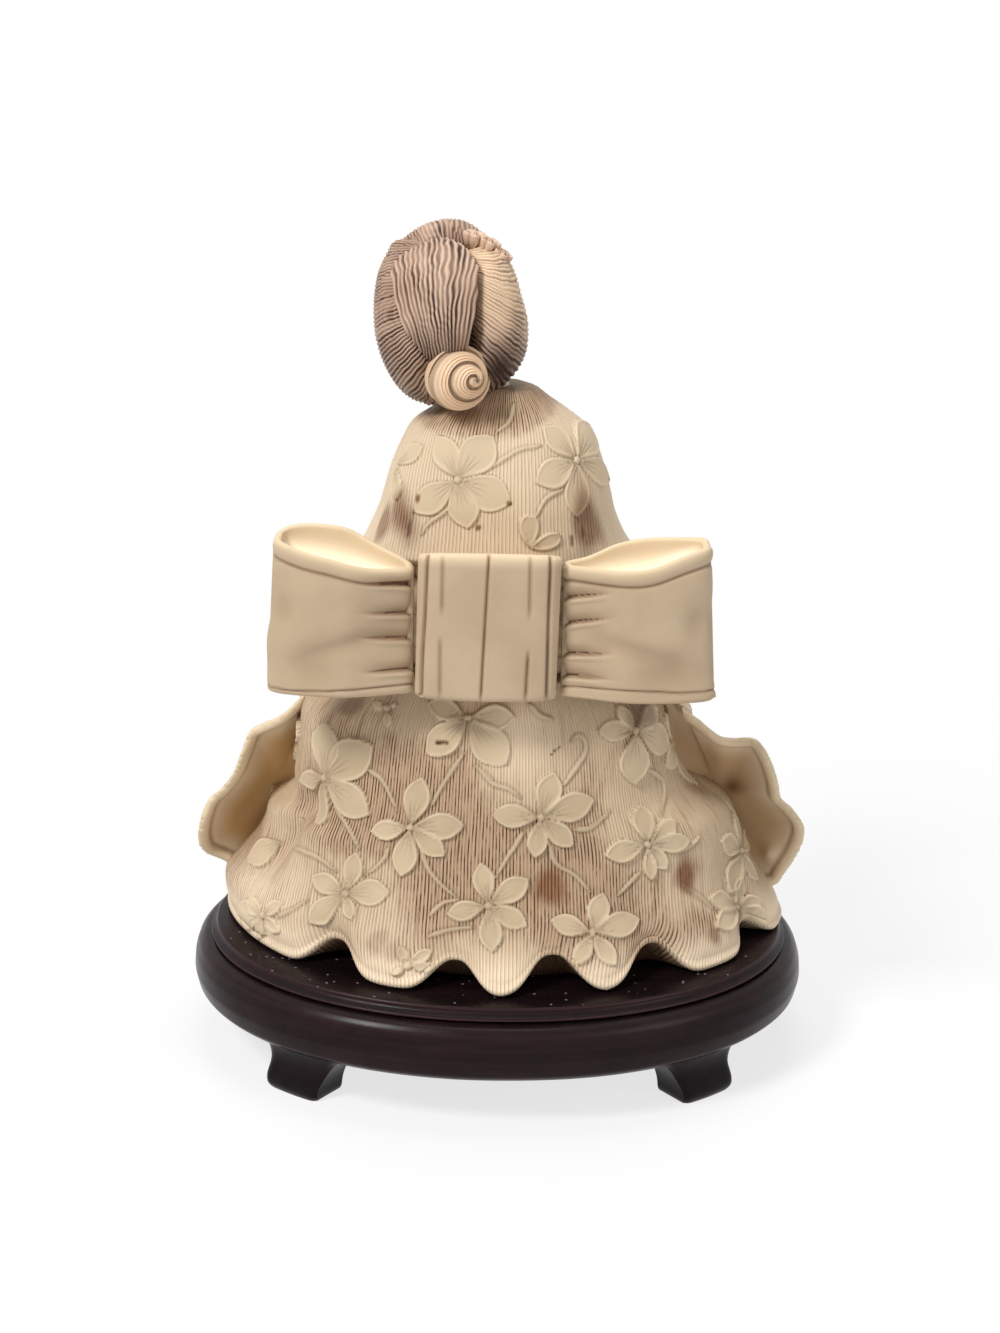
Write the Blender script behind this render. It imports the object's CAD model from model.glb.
"""Looks of a kneeling resin figurine in a long robe with a large bow, on an oval wooden stand."""
import math

import bpy
import numpy as np
from mathutils import Matrix
from mathutils.kdtree import KDTree


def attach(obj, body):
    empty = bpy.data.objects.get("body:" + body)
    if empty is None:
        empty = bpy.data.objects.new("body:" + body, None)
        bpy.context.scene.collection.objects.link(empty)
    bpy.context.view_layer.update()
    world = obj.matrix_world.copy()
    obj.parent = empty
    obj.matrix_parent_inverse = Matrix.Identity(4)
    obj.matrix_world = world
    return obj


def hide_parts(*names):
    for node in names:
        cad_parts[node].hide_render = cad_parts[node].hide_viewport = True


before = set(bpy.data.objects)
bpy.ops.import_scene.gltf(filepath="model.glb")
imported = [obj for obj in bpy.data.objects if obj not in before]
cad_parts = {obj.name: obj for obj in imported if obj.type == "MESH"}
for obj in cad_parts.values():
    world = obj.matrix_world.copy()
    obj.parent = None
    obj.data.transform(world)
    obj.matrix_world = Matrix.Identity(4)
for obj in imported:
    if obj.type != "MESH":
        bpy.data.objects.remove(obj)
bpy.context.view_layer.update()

# All shapes are worked out in millimetres; Blender's objects are in metres
MM = 0.001

# Camera: behind the figure, a little above it; the photograph is 1000 x 1333
PHOTO_WIDTH = 1000
PHOTO_HEIGHT = 1333
VIEW_ELEVATION = math.radians(18)
VIEW_ROLL = math.radians(1.2)
VIEW_DISTANCE = 590
VIEW_HEIGHT = 97.5
FOCAL_PIXELS = 2360
VIEW_BACK = np.array([0, -math.cos(VIEW_ELEVATION), math.sin(VIEW_ELEVATION)])
LEVEL_UP = np.array([0, math.sin(VIEW_ELEVATION), math.cos(VIEW_ELEVATION)])
VIEW_RIGHT = np.array([1, 0, 0]) * math.cos(VIEW_ROLL) + LEVEL_UP * math.sin(VIEW_ROLL)
VIEW_UP = LEVEL_UP * math.cos(VIEW_ROLL) - np.array([1, 0, 0]) * math.sin(VIEW_ROLL)
VIEW_PLACE = np.array([0, 0, VIEW_HEIGHT]) + VIEW_BACK * VIEW_DISTANCE

# The figure is shaped square to the camera and set down a little turned and aside on its stand
FIGURE_TURN = math.radians(-1.75)
FIGURE_SHIFT = -1
FIGURE_PLACE = Matrix.Translation((FIGURE_SHIFT * MM, 0, 0)) @ Matrix.Rotation(FIGURE_TURN, 4, "Z")

# Stand
STAND_HALF_LENGTH = 78.2
STAND_HALF_DEPTH = 61.3
STAND_FULLNESS = 0.97
FOOT_TOP = 12.7
RIM_BOTTOM = 13
RIM_TOP = 27
PLATFORM_BOTTOM = 27.3
PLATFORM_TOP = 30.5
RIM_PROFILE = [
    (-6, RIM_BOTTOM), (-2.6, RIM_BOTTOM), (-0.9, 14.6), (0, 18.4), (-0.3, 22), (-1.3, 25), (-2.6, 26.5),
    (-4.4, RIM_TOP),
]
PLATFORM_PROFILE = [
    (-5.2, PLATFORM_BOTTOM), (-4.4, 27.6), (-4.4, 28.1), (-5, 28.3), (-5.9, 29), (-6.2, 29.6), (-5.6, 29.9),
    (-6, PLATFORM_TOP),
]
FOOT_START = 39.2
FOOT_SWEEP_TOP = 19.5
FOOT_SWEEP_BOTTOM = 14
FOOT_INNER_OFFSET = -14
FOOT_FACE = [(0, -4), (3, -3.6), (7, -5), (10.5, -4.6), (FOOT_TOP, -3.6)]

# Robe: reach of each level to the left (-X), right (+X), back (-Y) and front (+Y) of the middle, then
# how far forward the widest line lies and how full the section is at its corners
ROBE_BOTTOM = 30.8
WAIST = 101
YOKE_BOTTOM = 128.3
SKIRT = [
    (31.5, 67, 72.2, 48, 50, 8, 1.04), (34, 67.5, 71.8, 47, 50, 8, 1.04), (37, 68, 70.8, 45.5, 49.5, 7.5, 1.02),
    (41, 68, 68.7, 43, 49, 7, 1), (45, 65.2, 66.5, 40, 48.5, 6, 0.98), (50, 61.3, 64.3, 37.5, 48, 5, 0.96),
    (55, 59, 62.8, 35.5, 47.5, 4, 0.94), (60, 57.4, 60.8, 33.8, 47.2, 2.5, 0.92), (64, 52, 57.8, 32.8, 47, 1.5, 0.9),
    (70, 51.3, 47.2, 31.5, 46, 0, 0.9), (80, 50.2, 42.8, 29.5, 42, 0, 0.9), (89, 49, 40.8, 27, 33, 0, 0.9),
    (95, 42, 37, 25, 23, 0, 0.9), (WAIST, 34, 31, 23, 17, 0, 0.9),
]
YOKE = [
    (YOKE_BOTTOM, 35.5, 33, 21.4, 15), (133, 33, 30.1, 21.2, 15), (139, 30.4, 27.5, 20.5, 15),
    (143, 29.2, 26.4, 20.2, 15), (149, 27.3, 24.6, 19, 14.5), (156, 24.1, 21.9, 16.8, 13),
    (160, 21.7, 19.2, 14.8, 11.6), (163.6, 16.7, 14.4, 12.3, 9.8), (166.4, 11.4, 10.2, 9.8, 8.2),
    (168, 8.4, 8.2, 8.4, 7.4),
]
# The robe closes in round the neck, which leans to the left
NAPE = [(168.5, 8.2, 7.2, 7.9, 7), (168.9, 8, 5.8, 7.4, 6.6), (169.2, 7.8, 4.6, 6.9, 6.2)]
OBI = [(101.3, 24.5, 22.5, 21.5, 17), (110, 24, 22, 22, 17.5), (120, 23, 22, 22, 17.5), (128, 22.5, 21.5, 21.5, 17)]
HEM_HOLLOWS = np.array([
    (-127.5, 6.5), (-99, 6.5), (-77.5, 8), (-55.5, 8), (-25, 4.5), (5, 6.5), (27, 6.5), (49, 6.5), (71, 6.5), (93, 6.5),
    (115, 6.5), (137, 6.5), (160, 6.5),
])
HEM_HOLLOW_HALF_WIDTH = 5.9
HEM_HOLLOW_LEAN = 1.2
HEM_REACH = 2.8
HEM_ROUND = 1
HEM_FADE_TOP = 66
HEM_UNDER_SCALE = 0.87
HEM_BASE_SCALE = 0.8
SIDE_VALLEY_ANGLE = -157
SIDE_VALLEY_HALF_WIDTH = 8
SIDE_VALLEY_DEPTH = 5.5
SIDE_VALLEY_MIDDLE = 56
SIDE_VALLEY_HALF_HEIGHT = 13

# Bow: heights of the back and front lips from the root of a loop (0) to its outer end (1)
BOW_BOTTOM = 101
KNOT_LEFT = -19.4
KNOT_RIGHT = 13.8
KNOT_TOP = 137
KNOT_BACK = -17
KNOT_FACE = -37.6
KNOT_BULGE = 1.2
KNOT_SLOPE = 0.36
LOOP_LEFT = {
    "root": -20.5,
    "end": -53.2,
    "low_end": -55,
    "back": [(0, 132), (0.1, 133.6), (0.3, 135.9), (0.5, 138.7), (0.72, 139.7), (0.9, 139.6), (1, 138.2)],
    "front": [(0, 131.5), (0.28, 132.1), (0.58, 134.5), (0.79, 136), (1, 138.2)],
}
LOOP_RIGHT = {
    "root": 14.4,
    "end": 48.4,
    "low_end": 50.9,
    "back": [(0, 133.4), (0.16, 134.1), (0.36, 136.4), (0.6, 137.8), (0.8, 138.2), (1, 138.8)],
    "front": [(0, 133.2), (0.37, 133.1), (0.6, 134), (0.83, 137), (1, 138.8)],
}
LOOP_MIDDLE = -31
LOOP_HALF_DEPTH = 7.6
LOOP_WALL = 1.9
LOOP_DISH_DEPTH = 3

# Sleeves: an arm, and the outline of each bag as distance from the middle and height
SLEEVE_ARM = [
    (27.8, -0.5, 127.9, 7.8, 10.5), (28, -0.4, 124, 7.9, 10.8), (35.5, 6, 112, 10.5, 13),
    (32, 18, 103, 12.5, 13.5), (23, 28, 99.5, 12, 13), (14.5, 34.5, 97, 9.5, 12.5),
]
BAG_TOP = [(34, 113), (41, 104), (44.5, 95)]
BAG_OUTER_RIGHT = [
    (45.5, 88.9), (50.1, 85.3), (55.3, 81), (59.1, 80.1), (63.8, 80.5), (66.1, 79.2), (68.6, 74.8), (70.7, 68.9),
    (71.8, 64.4), (75.1, 61.3), (77.9, 57.2), (78.2, 52.5), (76.9, 46.3), (74.7, 40.8), (72.3, 37.5),
]
BAG_OUTER_LEFT = [
    (50.6, 87.9), (55.1, 83.8), (60.1, 81.1), (62.6, 79.3), (64.7, 74), (66.8, 68.5), (70.3, 63.3), (73.4, 60.3),
    (75.4, 55.1), (76.3, 48.8), (74.8, 44.2), (70.1, 41.3),
]
BAG_INNER = [(65, 37), (55, 38), (45, 46), (38, 62), (33, 84), (30, 104)]
SLEEVE_CENTRE = (57, 62)
SLEEVE_HOLLOW = 13
SLEEVE_WALL = 2.6

# Head and hairdress, upright about the middle of the hairdress and leaned as one group
HEAD_PLACE = np.array([-12.5, 4, 182.2])
HEAD_LEAN = math.radians(-8)
HEAD_BOW = math.radians(-10)
HEAD_TURN = math.radians(4)
SKULL_X, SKULL_Y, SKULL_Z = 9.8, 11.6, 13.4
SKULL_CENTRE = np.array([0, 2.6, -3.2])


# Small helpers
def smooth(values, low, high):
    """0 below low, 1 above high, and a soft step between them; high may be the smaller one."""
    t = np.clip((values - low) / (high - low), 0, 1)
    return t * t * (3 - 2 * t)


def bump(across, up, width, height):
    return np.exp(-((across / width) ** 2) - (up / height) ** 2)


def signed_power(values, power):
    return np.sign(values) * np.abs(values) ** power


def along(rows, keys):
    """Rows of a table at the keys, as a smooth curve; the first column ascends."""
    table = np.asarray(rows, float)
    keys = np.clip(np.asarray(keys, float), table[0, 0], table[-1, 0])
    last = len(table) - 1
    after = np.minimum(np.arange(last + 1) + 1, last)
    before = np.maximum(np.arange(last + 1) - 1, 0)
    slopes = (table[after] - table[before]) / (table[after, :1] - table[before, :1])
    i = np.clip(np.searchsorted(table[:, 0], keys, side="left"), 1, last)
    a, b = table[i - 1], table[i]
    span = (b[..., :1] - a[..., :1])
    t = ((keys - a[..., 0]) / span[..., 0])[..., None]
    slope_in, slope_out = slopes[i - 1] * span, slopes[i] * span
    rise = b - a
    return a + t * (slope_in + t * (3 * rise - 2 * slope_in - slope_out + t * (slope_in + slope_out - 2 * rise)))


def curve_through(points, steps, closed=False):
    """Centripetal-free Catmull-Rom curve through points, with the given number of steps in all."""
    knots = np.asarray(points, float)
    count = len(knots)
    if closed:
        places = np.arange(steps) / steps * count
        i = np.floor(places).astype(int)
        t = (places - i)[:, None]
        p0, p1, p2, p3 = (knots[(i + k) % count] for k in (-1, 0, 1, 2))
    else:
        ends = np.vstack([2 * knots[0] - knots[1], knots, 2 * knots[-1] - knots[-2]])
        places = np.linspace(0, count - 1, steps + 1)
        i = np.minimum(np.floor(places).astype(int), count - 2)
        t = (places - i)[:, None]
        p0, p1, p2, p3 = (ends[i + k] for k in range(4))
    return 0.5 * (2 * p1 + (p2 - p0) * t + (2 * p0 - 5 * p1 + 4 * p2 - p3) * t ** 2
                  + (3 * p1 - p0 - 3 * p2 + p3) * t ** 3)


def wander(points, scale, seed):
    """Soft smooth noise between about -1 and 1, from a few waves in fixed directions."""
    rng = np.random.default_rng(seed)
    total = np.zeros(len(points))
    for octave in range(6):
        direction = rng.normal(size=points.shape[1])
        direction /= np.linalg.norm(direction)
        length = scale * rng.uniform(0.6, 1.7)
        total += np.sin(points @ direction * 2 * math.pi / length + rng.uniform(0, 6.28))
    return total / 6 ** 0.5 * 0.8


def seen(points):
    """Place of each point in the photograph's frame, as x and y in pixels."""
    offset = points - VIEW_PLACE
    depth = -(offset @ VIEW_BACK)
    x = PHOTO_WIDTH / 2 + FOCAL_PIXELS * (offset @ VIEW_RIGHT) / depth
    y = PHOTO_HEIGHT / 2 - FOCAL_PIXELS * (offset @ VIEW_UP) / depth
    return np.stack([x, y], -1)


def grid_normals(grid):
    """Outward-or-inward unit normals of a closed grid of rings."""
    over = np.roll(grid, -1, axis=1) - np.roll(grid, 1, axis=1)
    up = np.empty_like(grid)
    up[1:-1] = grid[2:] - grid[:-2]
    up[0] = grid[1] - grid[0]
    up[-1] = grid[-1] - grid[-2]
    normals = np.cross(over, up)
    return normals / np.maximum(np.linalg.norm(normals, axis=-1, keepdims=True), 1e-9)


def grid_faces(rows, sides):
    """Quads between rings, and a fan at each end on two extra points that close the skin."""
    i = np.arange(sides)
    j = (i + 1) % sides
    base = (np.arange(rows - 1) * sides)[:, None]
    quads = np.stack([base + i, base + j, base + sides + j, base + sides + i], -1).reshape(-1, 4)
    low, high, top = rows * sides, rows * sides + 1, (rows - 1) * sides
    fans = np.concatenate([
        np.stack([np.full(sides, low), j, i], -1),
        np.stack([np.full(sides, high), top + i, top + j], -1),
    ])
    return quads, fans


def volume_of(points, quads, fans):
    corners = [(quads[:, 0], quads[:, 1], quads[:, 2]), (quads[:, 0], quads[:, 2], quads[:, 3])]
    corners.append((fans[:, 0], fans[:, 1], fans[:, 2]))
    return sum(np.sum(points[a] * np.cross(points[b], points[c])) for a, b, c in corners)


class Skin:
    """A closed surface of rings, with one value per point for each named shading mask."""

    def __init__(self, grid, ends=None):
        self.rows, self.sides = grid.shape[:2]
        self.points = grid.reshape(-1, 3)
        first, last = ends if ends is not None else (grid[0].mean(axis=0), grid[-1].mean(axis=0))
        self.quads, self.fans = grid_faces(self.rows, self.sides)
        closed = np.vstack([self.points, first, last])
        self.outward = 1 if volume_of(closed, self.quads, self.fans) > 0 else -1
        self.ends = (np.asarray(first), np.asarray(last))
        self.masks = {}
        self.refresh()

    def refresh(self):
        grid = self.points.reshape(self.rows, self.sides, 3)
        normals = grid_normals(grid) * self.outward
        self.normals = normals.reshape(-1, 3)
        self.photo = seen(self.points)
        self.facing = np.einsum("ij,ij->i", self.normals, VIEW_PLACE - self.points) > 0

    def mask(self, name):
        return self.masks.setdefault(name, np.zeros(len(self.points)))

    def push(self, heights):
        """Moves the surface out along its normals."""
        self.points = self.points + self.normals * heights[:, None]

    def at_pixel(self, x, y):
        """The point of the skin that the photograph shows at a pixel."""
        if not hasattr(self, "tree"):
            chosen = np.flatnonzero(self.facing)
            self.tree = KDTree(len(chosen))
            for n in chosen:
                self.tree.insert((self.photo[n, 0], self.photo[n, 1], 0), int(n))
            self.tree.balance()
        near = self.tree.find_range((x, y, 0), 3) or [self.tree.find((x, y, 0))]
        depths = [np.linalg.norm(VIEW_PLACE - self.points[hit[1]]) for hit in near]
        front = min(depths) + 4
        found = min((hit[2], hit[1]) for hit, depth in zip(near, depths) if depth < front)[1]
        return self.points[found], self.normals[found]


def build(name, skins, material, replaced, body="figurine", sharp=None, transform=None):
    """One object from one or more skins; it rides the body and stands for the CAD node."""
    points, faces, start = [], [], 0
    for skin in skins:
        closed = np.vstack([skin.points, skin.ends[0], skin.ends[1]])
        quads, fans = skin.quads + start, skin.fans + start
        if skin.outward < 0:
            quads, fans = quads[:, ::-1], fans[:, ::-1]
        faces += quads.tolist() + fans.tolist()
        points.append(closed)
        start += len(closed)
    joined = np.vstack(points)
    mesh = bpy.data.meshes.new(name)
    mesh.from_pydata((joined * MM).tolist(), [], faces)
    for key in sorted({key for skin in skins for key in skin.masks}):
        values = np.concatenate([np.append(skin.mask(key), [skin.mask(key)[0], skin.mask(key)[-1]]) for skin in skins])
        mesh.attributes.new(key, "FLOAT", "POINT").data.foreach_set("value", values.astype(np.float32))
    mesh.shade_smooth()
    if sharp is not None:
        mesh.set_sharp_from_angle(angle=math.radians(sharp))
    if body == "figurine":
        mesh.transform(FIGURE_PLACE)
    mesh.materials.append(material)
    piece = bpy.data.objects.new(name, mesh)
    bpy.context.scene.collection.objects.link(piece)
    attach(piece, body)
    if replaced:
        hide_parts(replaced)
    return piece


def ring_angles(sides):
    return np.arange(sides) * 2 * math.pi / sides


def section(rows, angles, heights, grow=0):
    """Points of robe sections, on rounded quarters of the four reaches of each row."""
    shifted = rows.shape[-1] > 5
    middle = rows[..., 5] if shifted else 0
    power = rows[..., 6] if shifted else 0.9
    c, s = signed_power(np.cos(angles), power), signed_power(np.sin(angles), power)
    x = c * (np.where(c < 0, rows[..., 1], rows[..., 2]) + grow)
    y = middle + s * (np.where(s < 0, rows[..., 3] + middle, rows[..., 4] - middle) + grow)
    return np.stack([x, y, np.broadcast_to(heights, x.shape)], -1)


def oval_tube(rows, steps, sides, reference):
    """Grid of a tube of oval section along a smooth path; rows hold the middle and two half widths."""
    table = np.asarray(rows, float)
    path = curve_through(table[:, :3], steps)
    tangents = np.gradient(path, axis=0)
    tangents /= np.linalg.norm(tangents, axis=1, keepdims=True)
    shares = np.linspace(0, 1, steps + 1)
    radii = along(np.column_stack([np.linspace(0, 1, len(table)), table[:, 3:5]]), shares)[:, 1:]
    u = reference - tangents * (tangents @ reference)[:, None]
    u /= np.linalg.norm(u, axis=1, keepdims=True)
    v = np.cross(tangents, u)
    angles = ring_angles(sides)
    cos, sin = np.cos(angles)[None, :, None], np.sin(angles)[None, :, None]
    return path[:, None] + u[:, None] * radii[:, :1, None] * cos + v[:, None] * radii[:, 1:, None] * sin


def rounded_ends(grid, depth=0.5, steps=5):
    """Closes a tube with domed ends instead of flat ones."""
    first, last = [], []
    for k in range(1, steps):
        t = k / steps
        scale, out = math.sqrt(1 - t * t), t
        for rings, ring, inner in ((first, grid[0], grid[1]), (last, grid[-1], grid[-2])):
            middle = ring.mean(axis=0)
            outward = middle - inner.mean(axis=0)
            outward /= np.linalg.norm(outward)
            size = np.linalg.norm(ring - middle, axis=1).mean()
            rings.append(middle + (ring - middle) * scale + outward * size * depth * out)
    ends = []
    for ring, inner in ((grid[0], grid[1]), (grid[-1], grid[-2])):
        middle = ring.mean(axis=0)
        outward = middle - inner.mean(axis=0)
        outward /= np.linalg.norm(outward)
        ends.append(middle + outward * np.linalg.norm(ring - middle, axis=1).mean() * depth)
    return np.stack(first[::-1] + list(grid) + last), ends


# Colours, written as the eye sees them and turned into the linear values of a shader
def paint(red, green, blue):
    values = [c / 255 for c in (red, green, blue)]
    return [c / 12.92 if c <= 0.04045 else ((c + 0.055) / 1.055) ** 2.4 for c in values] + [1]


IVORY = paint(216, 199, 168)
IVORY_LIGHT = paint(231, 214, 184)
PETAL = paint(184, 164, 134)
PETAL_LIGHT = paint(221, 200, 169)
PETAL_LIP = paint(230, 211, 179)
HEM_CREAM = paint(246, 223, 192)
GROUND_PINK = paint(186, 157, 127)
GROUND_PALE = paint(208, 184, 153)
LINE_BROWN = paint(84, 52, 36)
UMBER = paint(84, 52, 32)
RUST = paint(110, 58, 18)
BOW_IVORY = paint(180, 158, 130)
BOW_LIGHT = paint(202, 181, 152)
SLEEVE_IVORY = paint(214, 193, 163)
BLOSSOM_PINK = paint(206, 174, 150)
BLOSSOM_LIGHT = paint(228, 200, 176)
SEAM_BROWN = paint(110, 70, 42)
LIP_CREAM = paint(234, 211, 174)
DISH_CREAM = paint(255, 236, 204)
SLEEVE_GOLD = paint(186, 144, 88)
HAIR_LIGHT = paint(212, 182, 158)
HAIR_PINK = paint(188, 154, 132)
HAIR_CREAM = paint(234, 202, 168)
HAIR_DARK = paint(48, 28, 20)
WOOD_DARK = paint(15, 8, 9)
WOOD_PLUM = paint(30, 17, 21)


# Node groups: effects that several finishes share
def new_group(name, inputs, outputs):
    group = bpy.data.node_groups.new(name, "ShaderNodeTree")
    for label, kind, value in inputs:
        socket = group.interface.new_socket(label, in_out="INPUT", socket_type=kind)
        socket.default_value = value
    for label, kind in outputs:
        group.interface.new_socket(label, in_out="OUTPUT", socket_type=kind)
    return group, group.nodes.new("NodeGroupInput"), group.nodes.new("NodeGroupOutput")


class Wiring:
    """Short names for the nodes of one tree."""

    def __init__(self, tree):
        self.tree = tree

    def link(self, value, socket):
        if hasattr(value, "is_output"):
            self.tree.links.new(value, socket)
        elif value is not None:
            socket.default_value = value

    def node(self, kind, inputs=(), **settings):
        node = self.tree.nodes.new(kind)
        for key, value in settings.items():
            setattr(node, key, value)
        for key, value in dict(inputs).items():
            self.link(value, node.inputs[key])
        return node

    def math(self, operation, a, b=None, c=None):
        node = self.node("ShaderNodeMath", {0: a, 1: b, 2: c}, operation=operation)
        return node.outputs[0]

    def mask(self, value, low, high, bottom=0.0, top=1.0):
        node = self.node("ShaderNodeMapRange", {0: value, 1: low, 2: high, 3: bottom, 4: top})
        node.interpolation_type = "SMOOTHSTEP"
        return node.outputs[0]

    def mix(self, share, a, b):
        node = self.node("ShaderNodeMix", {0: share, 6: a, 7: b}, data_type="RGBA")
        return node.outputs[2]

    def noise(self, place, scale, detail=2.0, roughness=0.5):
        inputs = {"Vector": place, "Scale": scale, "Detail": detail, "Roughness": roughness}
        return self.node("ShaderNodeTexNoise", inputs).outputs[0]

    def value(self, name):
        return self.node("ShaderNodeAttribute", attribute_name=name).outputs["Fac"]

    def place(self):
        return self.node("ShaderNodeTexCoord").outputs["Object"]


def combed_lines():
    """Uneven engraved lines a fixed pitch apart, from a distance across them and one along them."""
    group, given, result = new_group(
        "Combed lines",
        [("Across", "NodeSocketFloat", 0), ("Along", "NodeSocketFloat", 0), ("Pitch", "NodeSocketFloat", 1),
         ("Wobble", "NodeSocketFloat", 0.5), ("Thickness", "NodeSocketFloat", 0.5)],
        [("Line", "NodeSocketFloat"), ("Groove", "NodeSocketFloat")],
    )
    w = Wiring(group)
    across, length, pitch, wobble, thickness = (given.outputs[n] for n in range(5))
    sway = w.node("ShaderNodeCombineXYZ", {0: w.math("MULTIPLY", across, 0.22), 1: w.math("MULTIPLY", length, 0.045)})
    shift = w.math("SUBTRACT", w.noise(sway.outputs[0], 1.0, 2.0), 0.5)
    turns = w.math("MULTIPLY_ADD", shift, w.math("MULTIPLY", wobble, 6), w.math("DIVIDE", across, pitch))
    tent = w.math("MULTIPLY", w.math("PINGPONG", turns, 0.5), 2)
    cell = w.math("FLOOR", w.math("ADD", turns, 0.5))
    strand = w.node("ShaderNodeCombineXYZ", {0: w.math("MULTIPLY", cell, 3.71), 1: w.math("MULTIPLY", length, 0.17)})
    strength = w.mask(w.noise(strand.outputs[0], 1.0, 3.0, 0.6), 0.38, 0.6, 0.1, 1.0)
    edge = w.math("SUBTRACT", 1.0, thickness)
    line = w.mask(w.math("SUBTRACT", 1.0, tent), edge, w.math("MULTIPLY_ADD", thickness, 0.62, edge))
    w.link(w.math("MULTIPLY", line, strength), result.inputs["Line"])
    w.link(line, result.inputs["Groove"])
    return group


def resin_grain():
    """Soft cloudy tone of cast resin, tiny pits, and the small unevenness of its polish."""
    group, given, result = new_group(
        "Resin grain",
        [("Scale", "NodeSocketFloat", 1)],
        [("Cloud", "NodeSocketFloat"), ("Pit", "NodeSocketFloat"), ("Grain", "NodeSocketFloat")],
    )
    w = Wiring(group)
    place = w.place()
    scale = given.outputs[0]
    w.link(w.mask(w.noise(place, w.math("MULTIPLY", scale, 55.0), 4.0, 0.55), 0.3, 0.7), result.inputs["Cloud"])
    w.link(w.mask(w.noise(place, w.math("MULTIPLY", scale, 900.0), 2.0, 0.6), 0.7, 0.78), result.inputs["Pit"])
    w.link(w.noise(place, w.math("MULTIPLY", scale, 1600.0), 3.0, 0.6), result.inputs["Grain"])
    return group


def stain_wash():
    """Brown wash that gathers in uneven streaks and patches."""
    group, given, result = new_group(
        "Stain wash",
        [("Across", "NodeSocketFloat", 0), ("Along", "NodeSocketFloat", 0), ("Amount", "NodeSocketFloat", 0.5)],
        [("Wash", "NodeSocketFloat"), ("Streak", "NodeSocketFloat")],
    )
    w = Wiring(group)
    across, length, amount = (given.outputs[n] for n in range(3))
    broad = w.node("ShaderNodeCombineXYZ", {0: w.math("MULTIPLY", across, 0.07), 1: w.math("MULTIPLY", length, 0.05)})
    fine = w.node("ShaderNodeCombineXYZ", {0: w.math("MULTIPLY", across, 0.9), 1: w.math("MULTIPLY", length, 0.07)})
    patches = w.noise(broad.outputs[0], 1.0, 4.0, 0.6)
    streaks = w.noise(fine.outputs[0], 1.0, 3.0, 0.6)
    total = w.math("ADD", w.math("MULTIPLY", patches, 0.75), w.math("MULTIPLY", streaks, 0.25))
    w.link(w.mask(w.math("ADD", total, w.math("MULTIPLY_ADD", amount, 0.5, -0.25)), 0.38, 0.62), result.inputs["Wash"])
    w.link(w.mask(streaks, 0.55, 0.72), result.inputs["Streak"])
    return group


def fine_dust():
    """Scattered pale specks and a faint film of dust."""
    group, given, result = new_group(
        "Fine dust",
        [("Amount", "NodeSocketFloat", 0.5)],
        [("Speck", "NodeSocketFloat"), ("Film", "NodeSocketFloat")],
    )
    w = Wiring(group)
    place = w.place()
    cells = w.node("ShaderNodeTexVoronoi", {"Vector": place, "Scale": 520.0, "Randomness": 1.0})
    near = w.mask(cells.outputs["Distance"], 0.2, 0.08)
    chance = w.node("ShaderNodeSeparateColor", {0: cells.outputs["Color"]})
    limit = w.math("SUBTRACT", 1.0, w.math("MULTIPLY", given.outputs[0], 0.3))
    some = w.math("GREATER_THAN", chance.outputs[0], limit)
    w.link(w.math("MULTIPLY", near, some), result.inputs["Speck"])
    w.link(w.mask(w.noise(place, 70.0, 5.0, 0.7), 0.45, 0.75), result.inputs["Film"])
    return group


COMBED_LINES = combed_lines()
RESIN_GRAIN = resin_grain()
STAIN_WASH = stain_wash()
FINE_DUST = fine_dust()


def new_material(name):
    material = bpy.data.materials.new(name)
    material.use_nodes = True
    shader = material.node_tree.nodes["Principled BSDF"]
    return material, Wiring(material.node_tree), shader


def use(w, group, **inputs):
    return w.node("ShaderNodeGroup", {key.replace("_", " "): value for key, value in inputs.items()}, node_tree=group)


def bumped(w, height, distance, strength=1.0, below=None):
    inputs = {"Height": height, "Distance": distance, "Strength": strength, "Normal": below}
    return w.node("ShaderNodeBump", inputs).outputs[0]


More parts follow.
